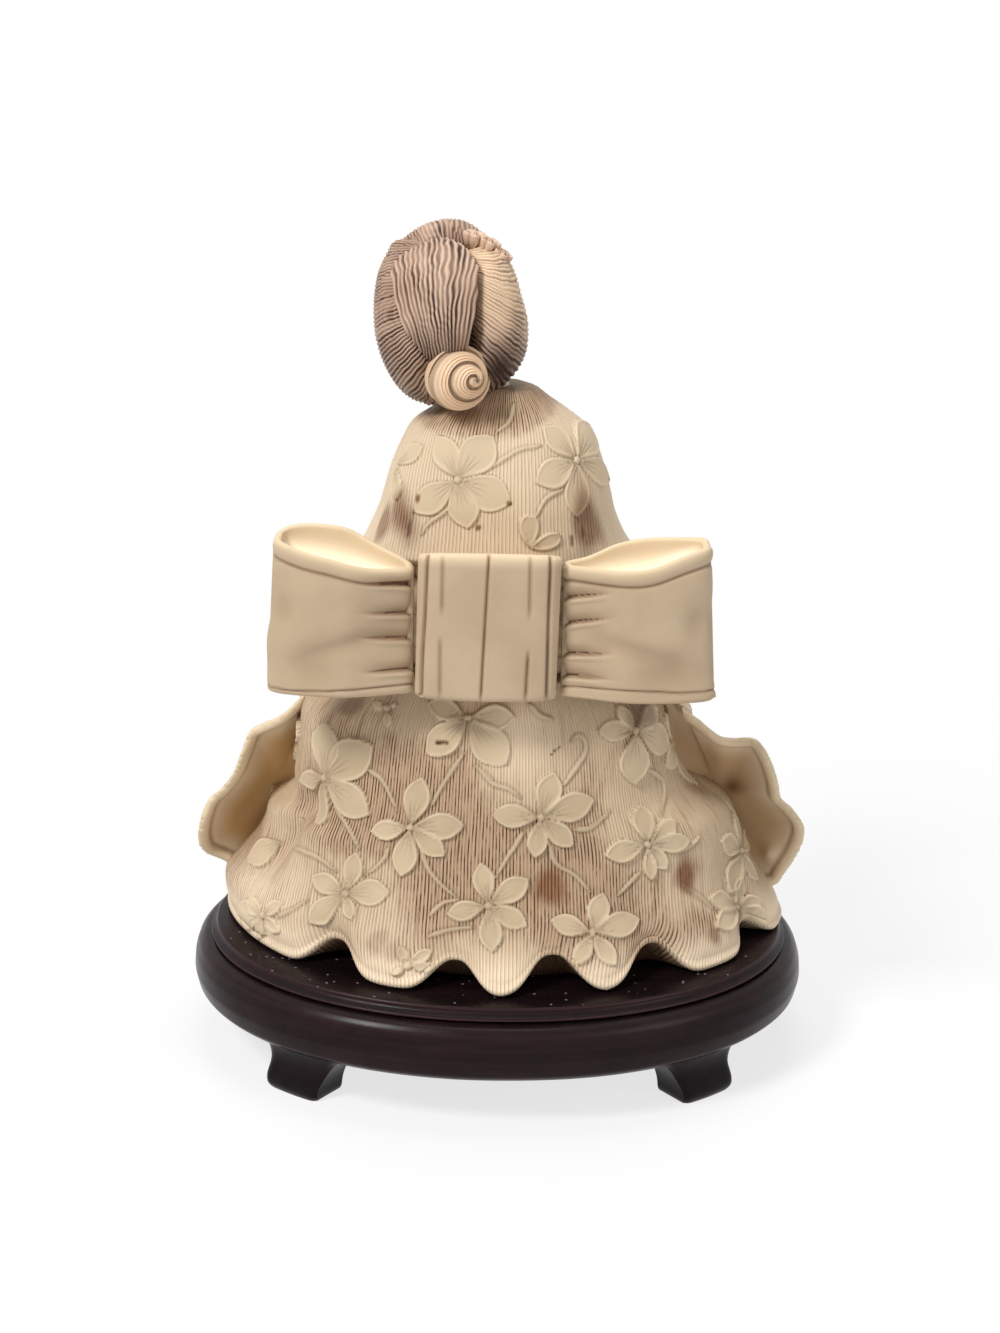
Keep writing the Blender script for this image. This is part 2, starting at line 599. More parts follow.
def carved_resin():
    """Combed and stained robe: pinkish lines between clean raised blossoms and vines."""
    material, w, shader = new_material("carved resin")
    across, length, relief, crease = (w.value(n) for n in ("across", "along", "relief", "crease"))
    stain, rust, pale, soot, lip = (w.value(n) for n in ("stain", "rust", "pale", "soot", "lip"))
    lines = use(w, COMBED_LINES, Across=across, Along=length, Pitch=0.85, Wobble=0.12, Thickness=0.46)
    wash = use(w, STAIN_WASH, Across=across, Along=length, Amount=stain)
    grain = use(w, RESIN_GRAIN, Scale=1.0)
    bare = w.math("SUBTRACT", 1.0, relief)
    line = w.math("MULTIPLY", lines.outputs["Line"], bare)
    strong = w.math("MULTIPLY", line, w.math("MULTIPLY_ADD", wash.outputs["Wash"], 0.85, 0.2))
    tone = w.mix(wash.outputs["Wash"], GROUND_PALE, GROUND_PINK)
    tone = w.mix(w.math("MULTIPLY", wash.outputs["Streak"], 0.32), tone, LINE_BROWN)
    tone = w.mix(w.math("MULTIPLY", pale, 0.92), tone, HEM_CREAM)
    tone = w.mix(w.math("MULTIPLY", strong, w.math("MULTIPLY_ADD", pale, -0.85, 1.0)), tone, LINE_BROWN)
    light = w.math("MAXIMUM", w.math("MULTIPLY", grain.outputs["Cloud"], 0.45), pale)
    clean = w.mix(light, PETAL, PETAL_LIGHT)
    clean = w.mix(w.math("MULTIPLY", lip, 0.6), clean, PETAL_LIP)
    tone = w.mix(w.math("MULTIPLY", relief, 0.9), tone, clean)
    tone = w.mix(w.math("MULTIPLY", crease, 0.5), tone, LINE_BROWN)
    streaky = w.math("MULTIPLY_ADD", wash.outputs["Streak"], 0.2, w.math("MULTIPLY_ADD", line, 0.2, 0.84))
    tone = w.mix(w.math("MULTIPLY", rust, streaky), tone, RUST)
    tone = w.mix(soot, tone, UMBER)
    w.link(tone, shader.inputs["Base Color"])
    w.link(w.math("MULTIPLY_ADD", line, 0.2, w.math("MULTIPLY_ADD", grain.outputs["Grain"], 0.12, 0.42)),
           shader.inputs["Roughness"])
    shader.inputs["Specular IOR Level"].default_value = 0.22
    height = w.math("MULTIPLY", w.math("MULTIPLY", lines.outputs["Groove"], bare), -1.0)
    normal = bumped(w, height, 0.0003, 0.9)
    w.link(bumped(w, grain.outputs["Grain"], 0.00003, 0.5, normal), shader.inputs["Normal"])
    return material


def smooth_resin(name, colour, light, golden):
    """Plain polished ivory resin with brown wash in its seams."""
    material, w, shader = new_material(name)
    crease, inside, rust, glow = (w.value(n) for n in ("crease", "inside", "rust", "glow"))
    grain = use(w, RESIN_GRAIN, Scale=1.0)
    tone = w.mix(w.math("MULTIPLY", grain.outputs["Cloud"], 0.45), colour, light)
    tone = w.mix(w.math("MULTIPLY", glow, 0.75), tone, LIP_CREAM)
    tone = w.mix(inside, tone, golden)
    tone = w.mix(w.math("MULTIPLY", crease, 0.8), tone, SEAM_BROWN)
    tone = w.mix(w.math("MULTIPLY", rust, 0.85), tone, RUST)
    w.link(tone, shader.inputs["Base Color"])
    w.link(w.math("MULTIPLY_ADD", grain.outputs["Grain"], 0.12, 0.4), shader.inputs["Roughness"])
    shader.inputs["Specular IOR Level"].default_value = 0.22
    w.link(bumped(w, grain.outputs["Grain"], 0.00003, 0.5), shader.inputs["Normal"])
    return material


def hair_resin():
    """Grooved hair: pale ridges, brown wash in the grooves, darkest where the masks say."""
    material, w, shader = new_material("hair resin")
    groove, shade, clean = (w.value(n) for n in ("groove", "shade", "clean"))
    grain = use(w, RESIN_GRAIN, Scale=1.6)
    ridge = w.mix(grain.outputs["Cloud"], HAIR_PINK, HAIR_LIGHT)
    ridge = w.mix(clean, ridge, HAIR_CREAM)
    tone = w.mix(w.math("MULTIPLY", groove, w.math("MULTIPLY_ADD", clean, -0.35, 0.98)), ridge, HAIR_DARK)
    tone = w.mix(shade, tone, HAIR_DARK)
    w.link(tone, shader.inputs["Base Color"])
    w.link(w.math("MULTIPLY_ADD", groove, 0.2, 0.45), shader.inputs["Roughness"])
    shader.inputs["Specular IOR Level"].default_value = 0.22
    w.link(bumped(w, grain.outputs["Grain"], 0.00004, 0.5), shader.inputs["Normal"])
    return material


def dark_wood():
    """Near-black lacquered wood with a faint plum grain, satin polish and some dust."""
    material, w, shader = new_material("dark wood")
    place = w.place()
    stretched = w.node("ShaderNodeMapping", {"Vector": place, "Scale": (9, 90, 60)})
    grain = w.noise(stretched.outputs[0], 3.0, 6.0, 0.65)
    dust = use(w, FINE_DUST, Amount=w.value("dusty"))
    tone = w.mix(w.mask(grain, 0.35, 0.75), WOOD_DARK, WOOD_PLUM)
    tone = w.mix(w.math("MULTIPLY", w.value("worn"), 0.35), tone, paint(92, 62, 62))
    specks = w.math("MULTIPLY", dust.outputs["Speck"], w.value("dusty"))
    tone = w.mix(w.math("MULTIPLY", specks, 0.55), tone, paint(170, 165, 165))
    w.link(tone, shader.inputs["Base Color"])
    roughness = w.math("MULTIPLY_ADD", dust.outputs["Film"], 0.12, 0.26)
    w.link(w.math("MULTIPLY_ADD", specks, 0.4, roughness), shader.inputs["Roughness"])
    shader.inputs["Specular IOR Level"].default_value = 0.1
    w.link(bumped(w, grain, 0.00006, 0.3), shader.inputs["Normal"])
    return material


ROBE_FINISH = carved_resin()
PLAIN_FINISH = smooth_resin("smooth resin", BOW_IVORY, BOW_LIGHT, DISH_CREAM)
SLEEVE_FINISH = smooth_resin("sleeve resin", SLEEVE_IVORY, IVORY_LIGHT, SLEEVE_GOLD)
BLOSSOM_FINISH = smooth_resin("blossom resin", BLOSSOM_PINK, BLOSSOM_LIGHT, DISH_CREAM)
SKIN_FINISH = smooth_resin("face resin", IVORY, IVORY_LIGHT, paint(190, 130, 112))
HAIR_FINISH = hair_resin()
WOOD_FINISH = dark_wood()


# Stand
def oval_ring(offset, height, angles):
    x = (STAND_HALF_LENGTH + offset) * signed_power(np.cos(angles), STAND_FULLNESS)
    y = (STAND_HALF_DEPTH + offset) * signed_power(np.sin(angles), STAND_FULLNESS)
    return np.stack([x, y, np.broadcast_to(height, x.shape)], -1)


def rounded_profile(points, radius, steps=4):
    """The profile with each inner corner replaced by a short curve."""
    knots = np.asarray(points, float)
    out = [knots[0]]
    for before, corner, after in zip(knots[:-2], knots[1:-1], knots[2:]):
        back, ahead = before - corner, after - corner
        cut = min(radius, np.linalg.norm(back) * 0.45, np.linalg.norm(ahead) * 0.45)
        start = corner + back / np.linalg.norm(back) * cut
        end = corner + ahead / np.linalg.norm(ahead) * cut
        for t in np.linspace(0, 1, steps + 1):
            out.append(start * (1 - t) ** 2 + corner * 2 * t * (1 - t) + end * t * t)
    out.append(knots[-1])
    return np.array(out)


def board(name, profile, inner):
    angles = ring_angles(288)
    outline = [(inner, profile[0][1]), *profile, (profile[-1][0] - 5, profile[-1][1]), (inner, profile[-1][1])]
    rounded = rounded_profile(outline, 0.7)
    grid = np.stack([oval_ring(offset, z, angles) for offset, z in rounded])
    skin = Skin(grid)
    skin.push(0.04 * wander(skin.points, 30, 5))
    height = skin.points[:, 2]
    skin.masks["dusty"] = smooth(height, PLATFORM_TOP - 0.4, PLATFORM_TOP) + 0.0 * height
    bend = np.abs(np.gradient(skin.normals.reshape(grid.shape)[..., 2], axis=0)).reshape(-1)
    skin.masks["worn"] = np.clip(bend * 4, 0, 1)
    return build(name, [skin], WOOD_FINISH, name.replace("base_", "stand_"), body="stand", sharp=50)


def bracket_foot(name, side_x, side_y):
    steps = 18
    heights = np.array([0, 0.25, 0.8, 1.5, 2.4, 3.4, 4.6, 6, 7.4, 8.8, 10, 11.2, 12.1, FOOT_TOP])
    rings = []
    for z in heights:
        face = along(FOOT_FACE, z)[1]
        spread = (z / FOOT_TOP) ** 2.2
        sweep = FOOT_SWEEP_BOTTOM + (FOOT_SWEEP_TOP - FOOT_SWEEP_BOTTOM) * spread
        toe = 0.5 * (1 - min(z / 1.6, 1)) ** 2
        t = np.linspace(0, 1, steps + 1)
        corner = 0.9 * (np.abs(2 * t - 1) ** 14)
        outer_angles = np.radians(FOOT_START + toe + (sweep - 2 * toe) * t)
        outer = oval_ring(face - toe - corner, z, outer_angles)
        inner = oval_ring(FOOT_INNER_OFFSET, z, np.radians(FOOT_START + toe + (sweep - 2 * toe) * t[::-1]))
        rings.append(np.vstack([outer, inner]))
    grid = np.stack(rings) * np.array([side_x, side_y, 1])
    skin = Skin(grid)
    skin.masks["worn"] = smooth(skin.points[:, 2], 1.5, 0.2) * 0.8
    return build(name, [skin], WOOD_FINISH, name.replace("base_", "stand_"), body="stand", sharp=40)


board("base_rim", RIM_PROFILE, -45)
board("base_platform", PLATFORM_PROFILE, -45)
for foot_name, foot_x, foot_y in (("back_right", 1, -1), ("back_left", -1, -1), ("front_right", 1, 1), ("front_left", -1, 1)):
    bracket_foot(f"base_foot_{foot_name}", foot_x, foot_y)


# Robe, as a plain form first
def degrees_from(angles, degrees):
    return (np.degrees(angles) - degrees + 180) % 360 - 180


def hollow_shares(angles):
    """Share of each hollow of the hem at the angles, 1 in its middle; steeper on the side away from the back."""
    away = np.array([degrees_from(angles, degrees) * math.copysign(1, degrees + 90) for degrees in HEM_HOLLOWS[:, 0]])
    lean = HEM_HOLLOW_LEAN * smooth(np.abs(HEM_HOLLOWS[:, :1] + 90), 5, 30)
    width = HEM_HOLLOW_HALF_WIDTH + np.where(away < 0, lean, -0.6 * lean)
    return np.exp(-(np.abs(away / width) ** 2.5))


def hem_wave(angles):
    """1 on a lobe of the hem and -1 in a hollow."""
    return 1 - 2 * hollow_shares(angles).max(axis=0)


def hem_lift(angles):
    return (hollow_shares(angles) * HEM_HOLLOWS[:, 1:]).max(axis=0)


def side_valley(angles, heights):
    across = degrees_from(angles, SIDE_VALLEY_ANGLE)
    return SIDE_VALLEY_DEPTH * bump(across, heights - SIDE_VALLEY_MIDDLE, SIDE_VALLEY_HALF_WIDTH, SIDE_VALLEY_HALF_HEIGHT)


def back_dense_angles(sides, crowd):
    """Angles round the robe from front to front, closer together at the back."""
    s = np.arange(sides) / sides * 2 - 1
    return -math.pi / 2 + math.pi * (s * (1 - crowd) + crowd * s ** 3)


def skirt_skin():
    angles = back_dense_angles(720, 0.35)
    lift = hem_lift(angles)
    wave = hem_wave(angles)

    def ring(z, grow, height):
        fade = np.clip((HEM_FADE_TOP - z) / (HEM_FADE_TOP - ROBE_BOTTOM), 0, 1) ** 1.5
        out = grow + HEM_REACH * wave * fade - side_valley(angles, z)
        return section(along(SKIRT, np.full(len(angles), z)), angles, height(fade), out)

    edge = along(SKIRT, np.full(len(angles), SKIRT[0][0]))
    base = section(edge, angles, ROBE_BOTTOM) * np.array([HEM_BASE_SCALE, HEM_BASE_SCALE, 1])
    lip = ring(ROBE_BOTTOM, -1, lambda fade: ROBE_BOTTOM + lift)
    under = ring(ROBE_BOTTOM, -1, lambda fade: ROBE_BOTTOM + lift * 0.9)
    under *= np.array([HEM_UNDER_SCALE, HEM_UNDER_SCALE, 1])
    rings = [base * (1 - t) + under * t for t in (0, 0.5)]
    rings += [under * (1 - t) + lip * t for t in (0, 0.4, 0.75, 0.93)]
    for turn in np.radians([-90, -65, -40, -15, 10, 35, 58]):
        rings.append(ring(ROBE_BOTTOM, -1 + HEM_ROUND * math.cos(turn),
                          lambda fade: ROBE_BOTTOM + lift + HEM_ROUND * (1 + math.sin(turn))))
    for z in np.concatenate([np.arange(33.4, 60, 0.32), np.arange(60, WAIST + 0.01, 0.4)]):
        settle = -0.5 * math.exp(-(z - 33.4) / 1.2)
        rings.append(ring(z, settle, lambda fade: z + lift * fade))
    return Skin(np.stack(rings)), angles


def comb_directions(skin, angles, mix_level):
    """Distance across the combed lines: round the body from the middle of the back."""
    grid = skin.points.reshape(skin.rows, skin.sides, 3)
    flat = grid[..., :2]
    steps = np.linalg.norm(np.roll(flat, -1, axis=1) - flat, axis=-1)
    lengths = np.concatenate([np.zeros((skin.rows, 1)), np.cumsum(steps, axis=1)[:, :-1]], axis=1)
    middle = int(np.argmin(np.abs(angles + math.pi / 2)))
    lengths -= lengths[:, middle:middle + 1]
    whole = steps.sum(axis=1, keepdims=True)
    usual = whole[np.argmin(np.abs(grid[:, middle, 2] - mix_level))]
    across = lengths * (0.5 + 0.5 * usual / whole)
    skin.masks["across"] = across.reshape(-1)
    skin.masks["along"] = grid[..., 2].reshape(-1).copy()


# Raised ornament: blossoms and vines, laid on a skin
def petal(skin, chosen, centre, normal, tip, width, blunt, lift):
    """Height, relief and crease of one petal at the chosen points; width is a share of its length."""
    axis = tip - centre
    axis = axis - normal * (axis @ normal) * 0.5
    length = np.linalg.norm(axis)
    axis /= length
    beside = np.cross(normal, axis)
    beside /= np.linalg.norm(beside)
    offset = skin.points[chosen] - centre
    a = (offset @ axis) / length
    b = offset @ beside
    inside_span = np.clip(a, 0.001, 0.999)
    if blunt:
        profile = inside_span ** 0.85 * (1 - inside_span) ** 0.45 / 0.524
    else:
        profile = inside_span ** 1.15 * (1 - inside_span ** 1.7) / 0.323
    half = width * length * profile
    room = np.where((a > 0) & (a < 1), half - np.abs(b), -np.hypot(b, np.maximum(-a, a - 1) * length))
    body = smooth(room, -0.1, 0.3)
    lip = np.exp(-(((room - 0.45) / 0.42) ** 2))
    fan = b / np.maximum(a * length, 0.8)
    veins = sum(np.exp(-(((fan - k) / 0.035) ** 2)) for k in (-0.2, 0, 0.2)) * smooth(a, 0.62, 0.25)
    curl = 0.16 * np.clip(b / np.maximum(half, 0.3), -1, 1)
    height = body * (lift * (0.66 + 0.4 * lip + curl) - 0.22 * veins)
    edge = np.exp(-((np.maximum(-room, 0) / 0.3) ** 2)) * smooth(room, 0.2, -0.05) * smooth(a, -0.05, 0.05)
    root = 0.45 * smooth(a, 0.34, 0.04) * body
    bright = body * np.exp(-(((room - 0.4) / 0.4) ** 2)) * smooth(a, 0.2, 0.45)
    return height, body, np.maximum(np.maximum(edge * 0.7, veins * body * 0.85), root), bright


def blossom(skin, centre_pixel, tips, width=0.265, lift=0.9, button=True):
    """A five-petalled blossom whose centre and petal tips are pixels of the photograph."""
    centre, normal = skin.at_pixel(*centre_pixel)
    placed = [(skin.at_pixel(tip[0], tip[1])[0], tip[2] if len(tip) > 2 else 1, len(tip) > 3) for tip in tips]
    raise_blossom(skin, centre, normal, placed, width, lift, button)


def raise_blossom(skin, centre, normal, tips, width, lift, button):
    reach = max(np.linalg.norm(tip - centre) for tip, _, _ in tips) * 1.2
    chosen = np.flatnonzero(np.linalg.norm(skin.points - centre, axis=1) < reach)
    chosen = chosen[skin.normals[chosen] @ normal > 0.1]
    heights = np.zeros(len(chosen))
    relief, crease, lips = (np.zeros(len(chosen)) for _ in range(3))
    for n, (tip, share, blunt) in enumerate(tips):
        level = lift * (1 + 0.12 * (n % 2))
        height, body, edge, bright = petal(skin, chosen, centre, normal, tip, width * share, blunt, level)
        lips = np.where(height >= heights, bright, lips)
        crease = np.where(height >= heights, edge, crease * (1 - 0.8 * body))
        crease = np.maximum(crease, edge * (1 - relief))
        heights = np.maximum(heights, height)
        relief = np.maximum(relief, body)
    if button:
        radius = np.linalg.norm(skin.points[chosen] - centre, axis=1)
        dome = np.clip(1 - (radius / 0.85) ** 2, 0, 1) ** 0.5
        ring = np.exp(-(((radius - 1.1) / 0.28) ** 2))
        heights = np.where(radius < 0.85, lift * 0.75 + 0.45 * dome, heights - 0.35 * ring * relief)
        relief = np.where(radius < 0.85, 1, relief)
        crease = np.where(radius < 0.85, 0, np.maximum(crease, ring * 0.7))
    skin.mask("lip")[chosen] = np.maximum(skin.mask("lip")[chosen], lips)
    gain_ornament(skin, chosen, heights, relief, crease)


def gain_ornament(skin, chosen, heights, relief, crease):
    skin.mask("lift")[chosen] = np.maximum(skin.mask("lift")[chosen], heights)
    old = skin.mask("relief")[chosen]
    skin.mask("crease")[chosen] = np.maximum(skin.mask("crease")[chosen] * (1 - relief), crease * (1 - old * 0.7))
    skin.mask("relief")[chosen] = np.maximum(old, relief)


def vine(skin, pixels, width=0.66, lift=0.6):
    """A raised tendril through pixels of the photograph, thinning towards its end."""
    line = curve_through(pixels, 14 * (len(pixels) - 1))
    path = np.array([skin.at_pixel(x, y)[0] for x, y in line])
    for _ in range(6):
        path[1:-1] = path[1:-1] * 0.5 + (path[:-2] + path[2:]) * 0.25
    raise_vine(skin, path, width, lift)


def raise_vine(skin, path, width, lift):
    tree = KDTree(len(path))
    for n, place in enumerate(path):
        tree.insert(place, n)
    tree.balance()
    low, high = path.min(axis=0) - 2, path.max(axis=0) + 2
    chosen = np.flatnonzero(np.all((skin.points > low) & (skin.points < high), axis=1))
    found = [tree.find(skin.points[n]) for n in chosen]
    distance = np.array([hit[2] for hit in found])
    share = np.array([hit[1] for hit in found]) / (len(path) - 1)
    half = width * (1 - 0.4 * share) * (0.55 + 0.45 * smooth(np.minimum(share, 1 - share), 0, 0.16))
    body = smooth(distance, half * 1.2, half * 0.75)
    heights = lift * np.exp(-((distance / (half * 0.85)) ** 4))
    edge = np.exp(-(((distance - half * 1.5) / 0.3) ** 2)) * 0.55
    gain_ornament(skin, chosen, heights, body, edge * (1 - body))


def spot(skin, name, pixel, radius, strength, stretch=1.0):
    """Adds a soft spot to a mask round the place that the photograph shows at a pixel."""
    place, _ = skin.at_pixel(*pixel)
    offset = skin.points - place
    distance = np.sqrt(offset[:, 0] ** 2 + offset[:, 1] ** 2 + (offset[:, 2] / stretch) ** 2)
    edge = distance + 0.25 * radius * wander(skin.points, radius * 1.5, 3)
    skin.masks[name] = np.maximum(skin.mask(name), strength * smooth(edge, radius, radius * 0.25))


SKIRT_BLOSSOMS = [
    ((326, 778), [(327, 722, 1.3), (374, 744, 1.15), (371, 815, 1.1), (318, 826, 1, 1), (301, 780, 0.8)]),
    ((410.5, 827), [(422, 776), (465, 824), (446, 856), (401, 877), (371, 832)]),
    ((468, 718), [(428, 703, 1.1), (427, 755, 1.1), (506, 766, 1.2), (515, 717, 1.1)]),
    ((346, 894), [(357, 851), (391.5, 892, 1.1), (352, 921), (308.5, 923), (312, 876)]),
    ((541, 817), [(554, 771, 1.1), (594, 798), (573, 846), (534, 858), (492, 814)]),
    ((489, 906), [(480, 862), (529, 878), (528, 926), (493, 954), (447, 915)]),
    ((634, 730), [(596.5, 731), (633, 785, 1.3), (667, 745), (655, 708), (615, 706)]),
    ((647, 844), [(604, 855), (638, 804, 1.3), (676, 821, 0.9), (690, 842, 0.8), (667, 869), (651, 881, 0.8)]),
    ((592, 932.5), [(603, 892, 1.1), (639, 919), (615, 967), (576, 966), (550, 920)]),
    ((408, 966), [(400, 945, 1.1), (432, 950, 0.9), (438, 968, 0.8), (392, 975, 0.8)]),
    ((735, 908), [(742, 875), (762, 902), (748, 930), (715, 928), (708, 898)]),
    ((265, 915), [(249, 900), (284, 903), (280, 932), (258, 940), (240, 915)]),
    ((388, 708), [(388, 729), (373, 704), (398, 704)]),
]
SKIRT_VINES = [
    [(369, 770), (384, 782), (397, 810)], [(335, 806), (348, 827), (360, 849)], [(293, 847), (317, 857), (337, 872)],
    [(463, 754), (441, 788), (432, 806)], [(477, 766), (494, 784), (508, 788), (521, 798)],
    [(389, 848), (384, 859), (366, 876)], [(421, 851), (432, 875), (458, 899)], [(430, 915), (443, 903), (458, 900)],
    [(430, 936), (450, 930), (474, 927)], [(523, 833), (511, 852), (495, 878)],
    [(548, 840), (556, 864), (575, 875), (590, 892)], [(575, 830), (592, 827), (610, 811)],
    [(564, 785), (577, 766), (585, 752), (584, 739), (577, 735), (571, 742)],
    [(647, 769), (662, 780), (664, 797), (660, 816)], [(639, 873), (617, 896)], [(530, 704), (540, 715), (553, 719)],
    [(279, 917), (308, 900)], [(676, 850), (690, 846), (700, 836)], [(683, 885), (700, 897), (712, 908)],
]
YOKE_BLOSSOMS = [
    ((458, 480), [(439, 435, 1.2), (494, 435, 1.4), (511, 504, 1.3), (469, 529, 1.35), (414, 512, 1.1)]),
    ((576, 461), [(542, 426, 1.2), (591, 420, 1.3), (608, 482), (576, 519, 1.1), (535, 483, 1.25)]),
    ((398, 466), [(424, 445, 1.1), (397, 502, 1.1)]),
    ((530, 548), [(529, 515, 1.5, 1), (560, 536, 1.3, 1)]),
]
YOKE_VINES = [
    [(494, 466), (519, 450), (541, 446)], [(563, 489), (546, 499), (536, 517)], [(449, 509), (429, 524), (422, 534)],
    [(514, 405), (509, 422), (496, 433)],
]


def dress_skirt():
    skin, angles = skirt_skin()
    skin.push(0.5 * wander(skin.points, 34, 11) * smooth(skin.points[:, 2], 34, 44))
    skin.refresh()
    comb_directions(skin, angles, 56)
    for centre, tips in SKIRT_BLOSSOMS:
        blossom(skin, centre, tips)
    for pixels in SKIRT_VINES:
        vine(skin, pixels)
    blossom(skin, (283, 841), [(248, 861, 1.1)], width=0.3, button=False)
    around_front(skin, angles)
    wave = np.tile(hem_wave(angles), skin.rows)
    row = np.repeat(np.arange(skin.rows), skin.sides)
    height = skin.points[:, 2] - ROBE_BOTTOM
    skin.masks["pale"] = np.clip(smooth(height, 12, 2.5) * (0.85 + 0.35 * wave), 0, 1) * (row > 5)
    px, py = skin.photo.T
    middle_light = bump(px - 520, py - 735, 34, 46) + 0.5 * bump(px - 300, py - 735, 30, 50)
    flare_light = 0.8 * bump(px - 255, py - 890, 36, 34)
    skin.masks["pale"] = np.maximum(skin.masks["pale"], np.clip(0.85 * middle_light + flare_light, 0, 1) * skin.facing)
    skin.masks["soot"] = smooth(row, 7, 1) * 0.9
    skin.masks["stain"] = 0.55 + 0.5 * wander(skin.points, 42, 21) - 0.3 * middle_light
    spot(skin, "rust", (687, 873), 5, 1, 1.5)
    spot(skin, "rust", (551, 886), 5.5, 0.8, 1.8)
    spot(skin, "rust", (739, 920), 4, 0.45, 1)
    spot(skin, "rust", (395, 950), 4, 0.35, 1)
    spot(skin, "soot", (350, 706), 5, 0.5, 0.8)
    spot(skin, "soot", (640, 712), 7, 0.6, 0.9)
    spot(skin, "rust", (376, 942), 4, 0.35, 1)
    spot(skin, "rust", (712, 934), 4.5, 0.7, 1)
    for x in (438.5, 441, 443.5, 446):
        spot(skin, "soot", (x, 742.6), 0.8, 1)
    for x, y in ((552, 754), (554.5, 751.5), (557, 749), (559.5, 746.5)):
        spot(skin, "soot", (x, y), 0.5, 1)
    skin.push(skin.masks.pop("lift") * smooth(row, 8, 14))
    return build("robe_skirt", [skin], ROBE_FINISH, "robe_lower")


FRONT_BLOSSOMS = [(20, 62), (160, 55), (60, 50), (120, 64), (90, 44), (-15, 52), (38, 78), (142, 80), (75, 72), (0, 78), (172, 80)]


def around_front(skin, angles):
    """Blossoms of the same kind where the photograph doesn't reach, joined by tendrils."""
    places = []
    for n, (degrees, height) in enumerate(FRONT_BLOSSOMS):
        target = math.radians(degrees if degrees <= 90 else degrees - 360)
        gap = np.abs((angles - target + math.pi) % (2 * math.pi) - math.pi)
        column = int(np.argmin(gap))
        heights = skin.points.reshape(skin.rows, skin.sides, 3)[12:, column, 2]
        index = (12 + int(np.argmin(np.abs(heights - height)))) * skin.sides + column
        centre, normal = skin.points[index], skin.normals[index]
        places.append(centre)
        side = np.cross([0, 0, 1], normal)
        side /= np.linalg.norm(side)
        rise = np.cross(normal, side)
        tips = []
        for k in range(5):
            turn = 2 * math.pi * k / 5 + 0.5 * n
            size = 11.5 + 1.2 * math.sin(3 * k + n)
            tips.append((centre + (side * math.cos(turn) + rise * math.sin(turn)) * size, 1 + 0.1 * math.cos(k), False))
        raise_blossom(skin, centre, normal, tips, 0.265, 0.9, True)
    tree = KDTree(len(skin.points))
    for n, place in enumerate(skin.points):
        tree.insert(place, n)
    tree.balance()
    for a, b in ((0, 6), (0, 2), (2, 4), (4, 1), (1, 7), (3, 8), (8, 6), (5, 9), (1, 10), (8, 2), (3, 4)):
        start, end = places[a], places[b]
        away = np.array([start[0] + end[0], start[1] + end[1], 0]) * 0.15
        line = [start + (end - start) * t + away * math.sin(math.pi * t) for t in np.linspace(0.28, 0.75, 30)]
        sway = [np.array([0, 0, 2.2 * math.sin(2 * math.pi * t)]) for t in np.linspace(0, 1, 30)]
        raise_vine(skin, np.array([skin.points[tree.find(p + s)[1]] for p, s in zip(line, sway)]), 0.7, 0.6)


def dress_yoke():
    angles = back_dense_angles(480, 0.3)
    rings = []
    for t in np.concatenate([np.linspace(0, 0.04, 4), np.linspace(0.05, 1, 118)]):
        z = YOKE_BOTTOM + (168 - YOKE_BOTTOM) * t
        inner = -1.2 * (1 - smooth(t, 0, 0.03))
        rings.append(section(along(YOKE, np.full(len(angles), z)), angles, z, inner))
    for row in NAPE:
        rings.append(section(np.tile(row, (len(angles), 1)), angles, row[0]))
    closing = rings[0] * np.array([0.55, 0.55, 1]) + np.array([0, 0, 1.5])
    skin = Skin(np.stack([closing] + rings))
    skin.push(0.35 * wander(skin.points, 26, 31) * smooth(skin.points[:, 2], 166, 158))
    skin.refresh()
    comb_directions(skin, angles, 150)
    for centre, tips in YOKE_BLOSSOMS:
        blossom(skin, centre, tips, width=0.25, lift=0.6, button=len(tips) > 2)
    for pixels in YOKE_VINES:
        vine(skin, pixels, 0.6, 0.45)
    row = np.repeat(np.arange(skin.rows), skin.sides)
    x, y = skin.photo[:, 0], skin.photo[:, 1]
    nape = smooth(np.hypot((x - 480) * 0.75, y - 372), 78, 52)
    skin.masks["stain"] = 0.12 + 0.3 * wander(skin.points, 40, 41) + 1.1 * nape
    skin.masks["pale"] = (0.5 + 0.2 * smooth(np.abs(x - 500), 60, 110)) * (1 - nape)
    for place, radius, strength, stretch in (((404, 522), 6.5, 0.9, 1.3), ((386, 522), 4, 0.7, 2), ((585, 520), 6, 0.85, 2)):
        spot(skin, "rust", place, radius, strength, stretch)
    for place, radius, stretch in (((409, 529), 1, 4), ((414, 512), 0.6, 3), ((583, 531), 1, 3), ((572, 540), 0.7, 3)):
        spot(skin, "soot", place, radius, 0.75, stretch)
    spot(skin, "rust", (418, 498), 1, 1, 1.6)
    spot(skin, "rust", (509, 504), 0.9, 1, 1)
    spot(skin, "rust", (479, 527), 1, 1, 1.4)
    spot(skin, "rust", (607, 480), 1, 0.9, 1)
    spot(skin, "soot", (470, 412), 4.5, 0.5, 0.6)
    skin.push(skin.masks.pop("lift") * smooth(row, 4, 10))
    return build("robe_back", [skin], ROBE_FINISH, "robe_upper")


dress_skirt()
dress_yoke()


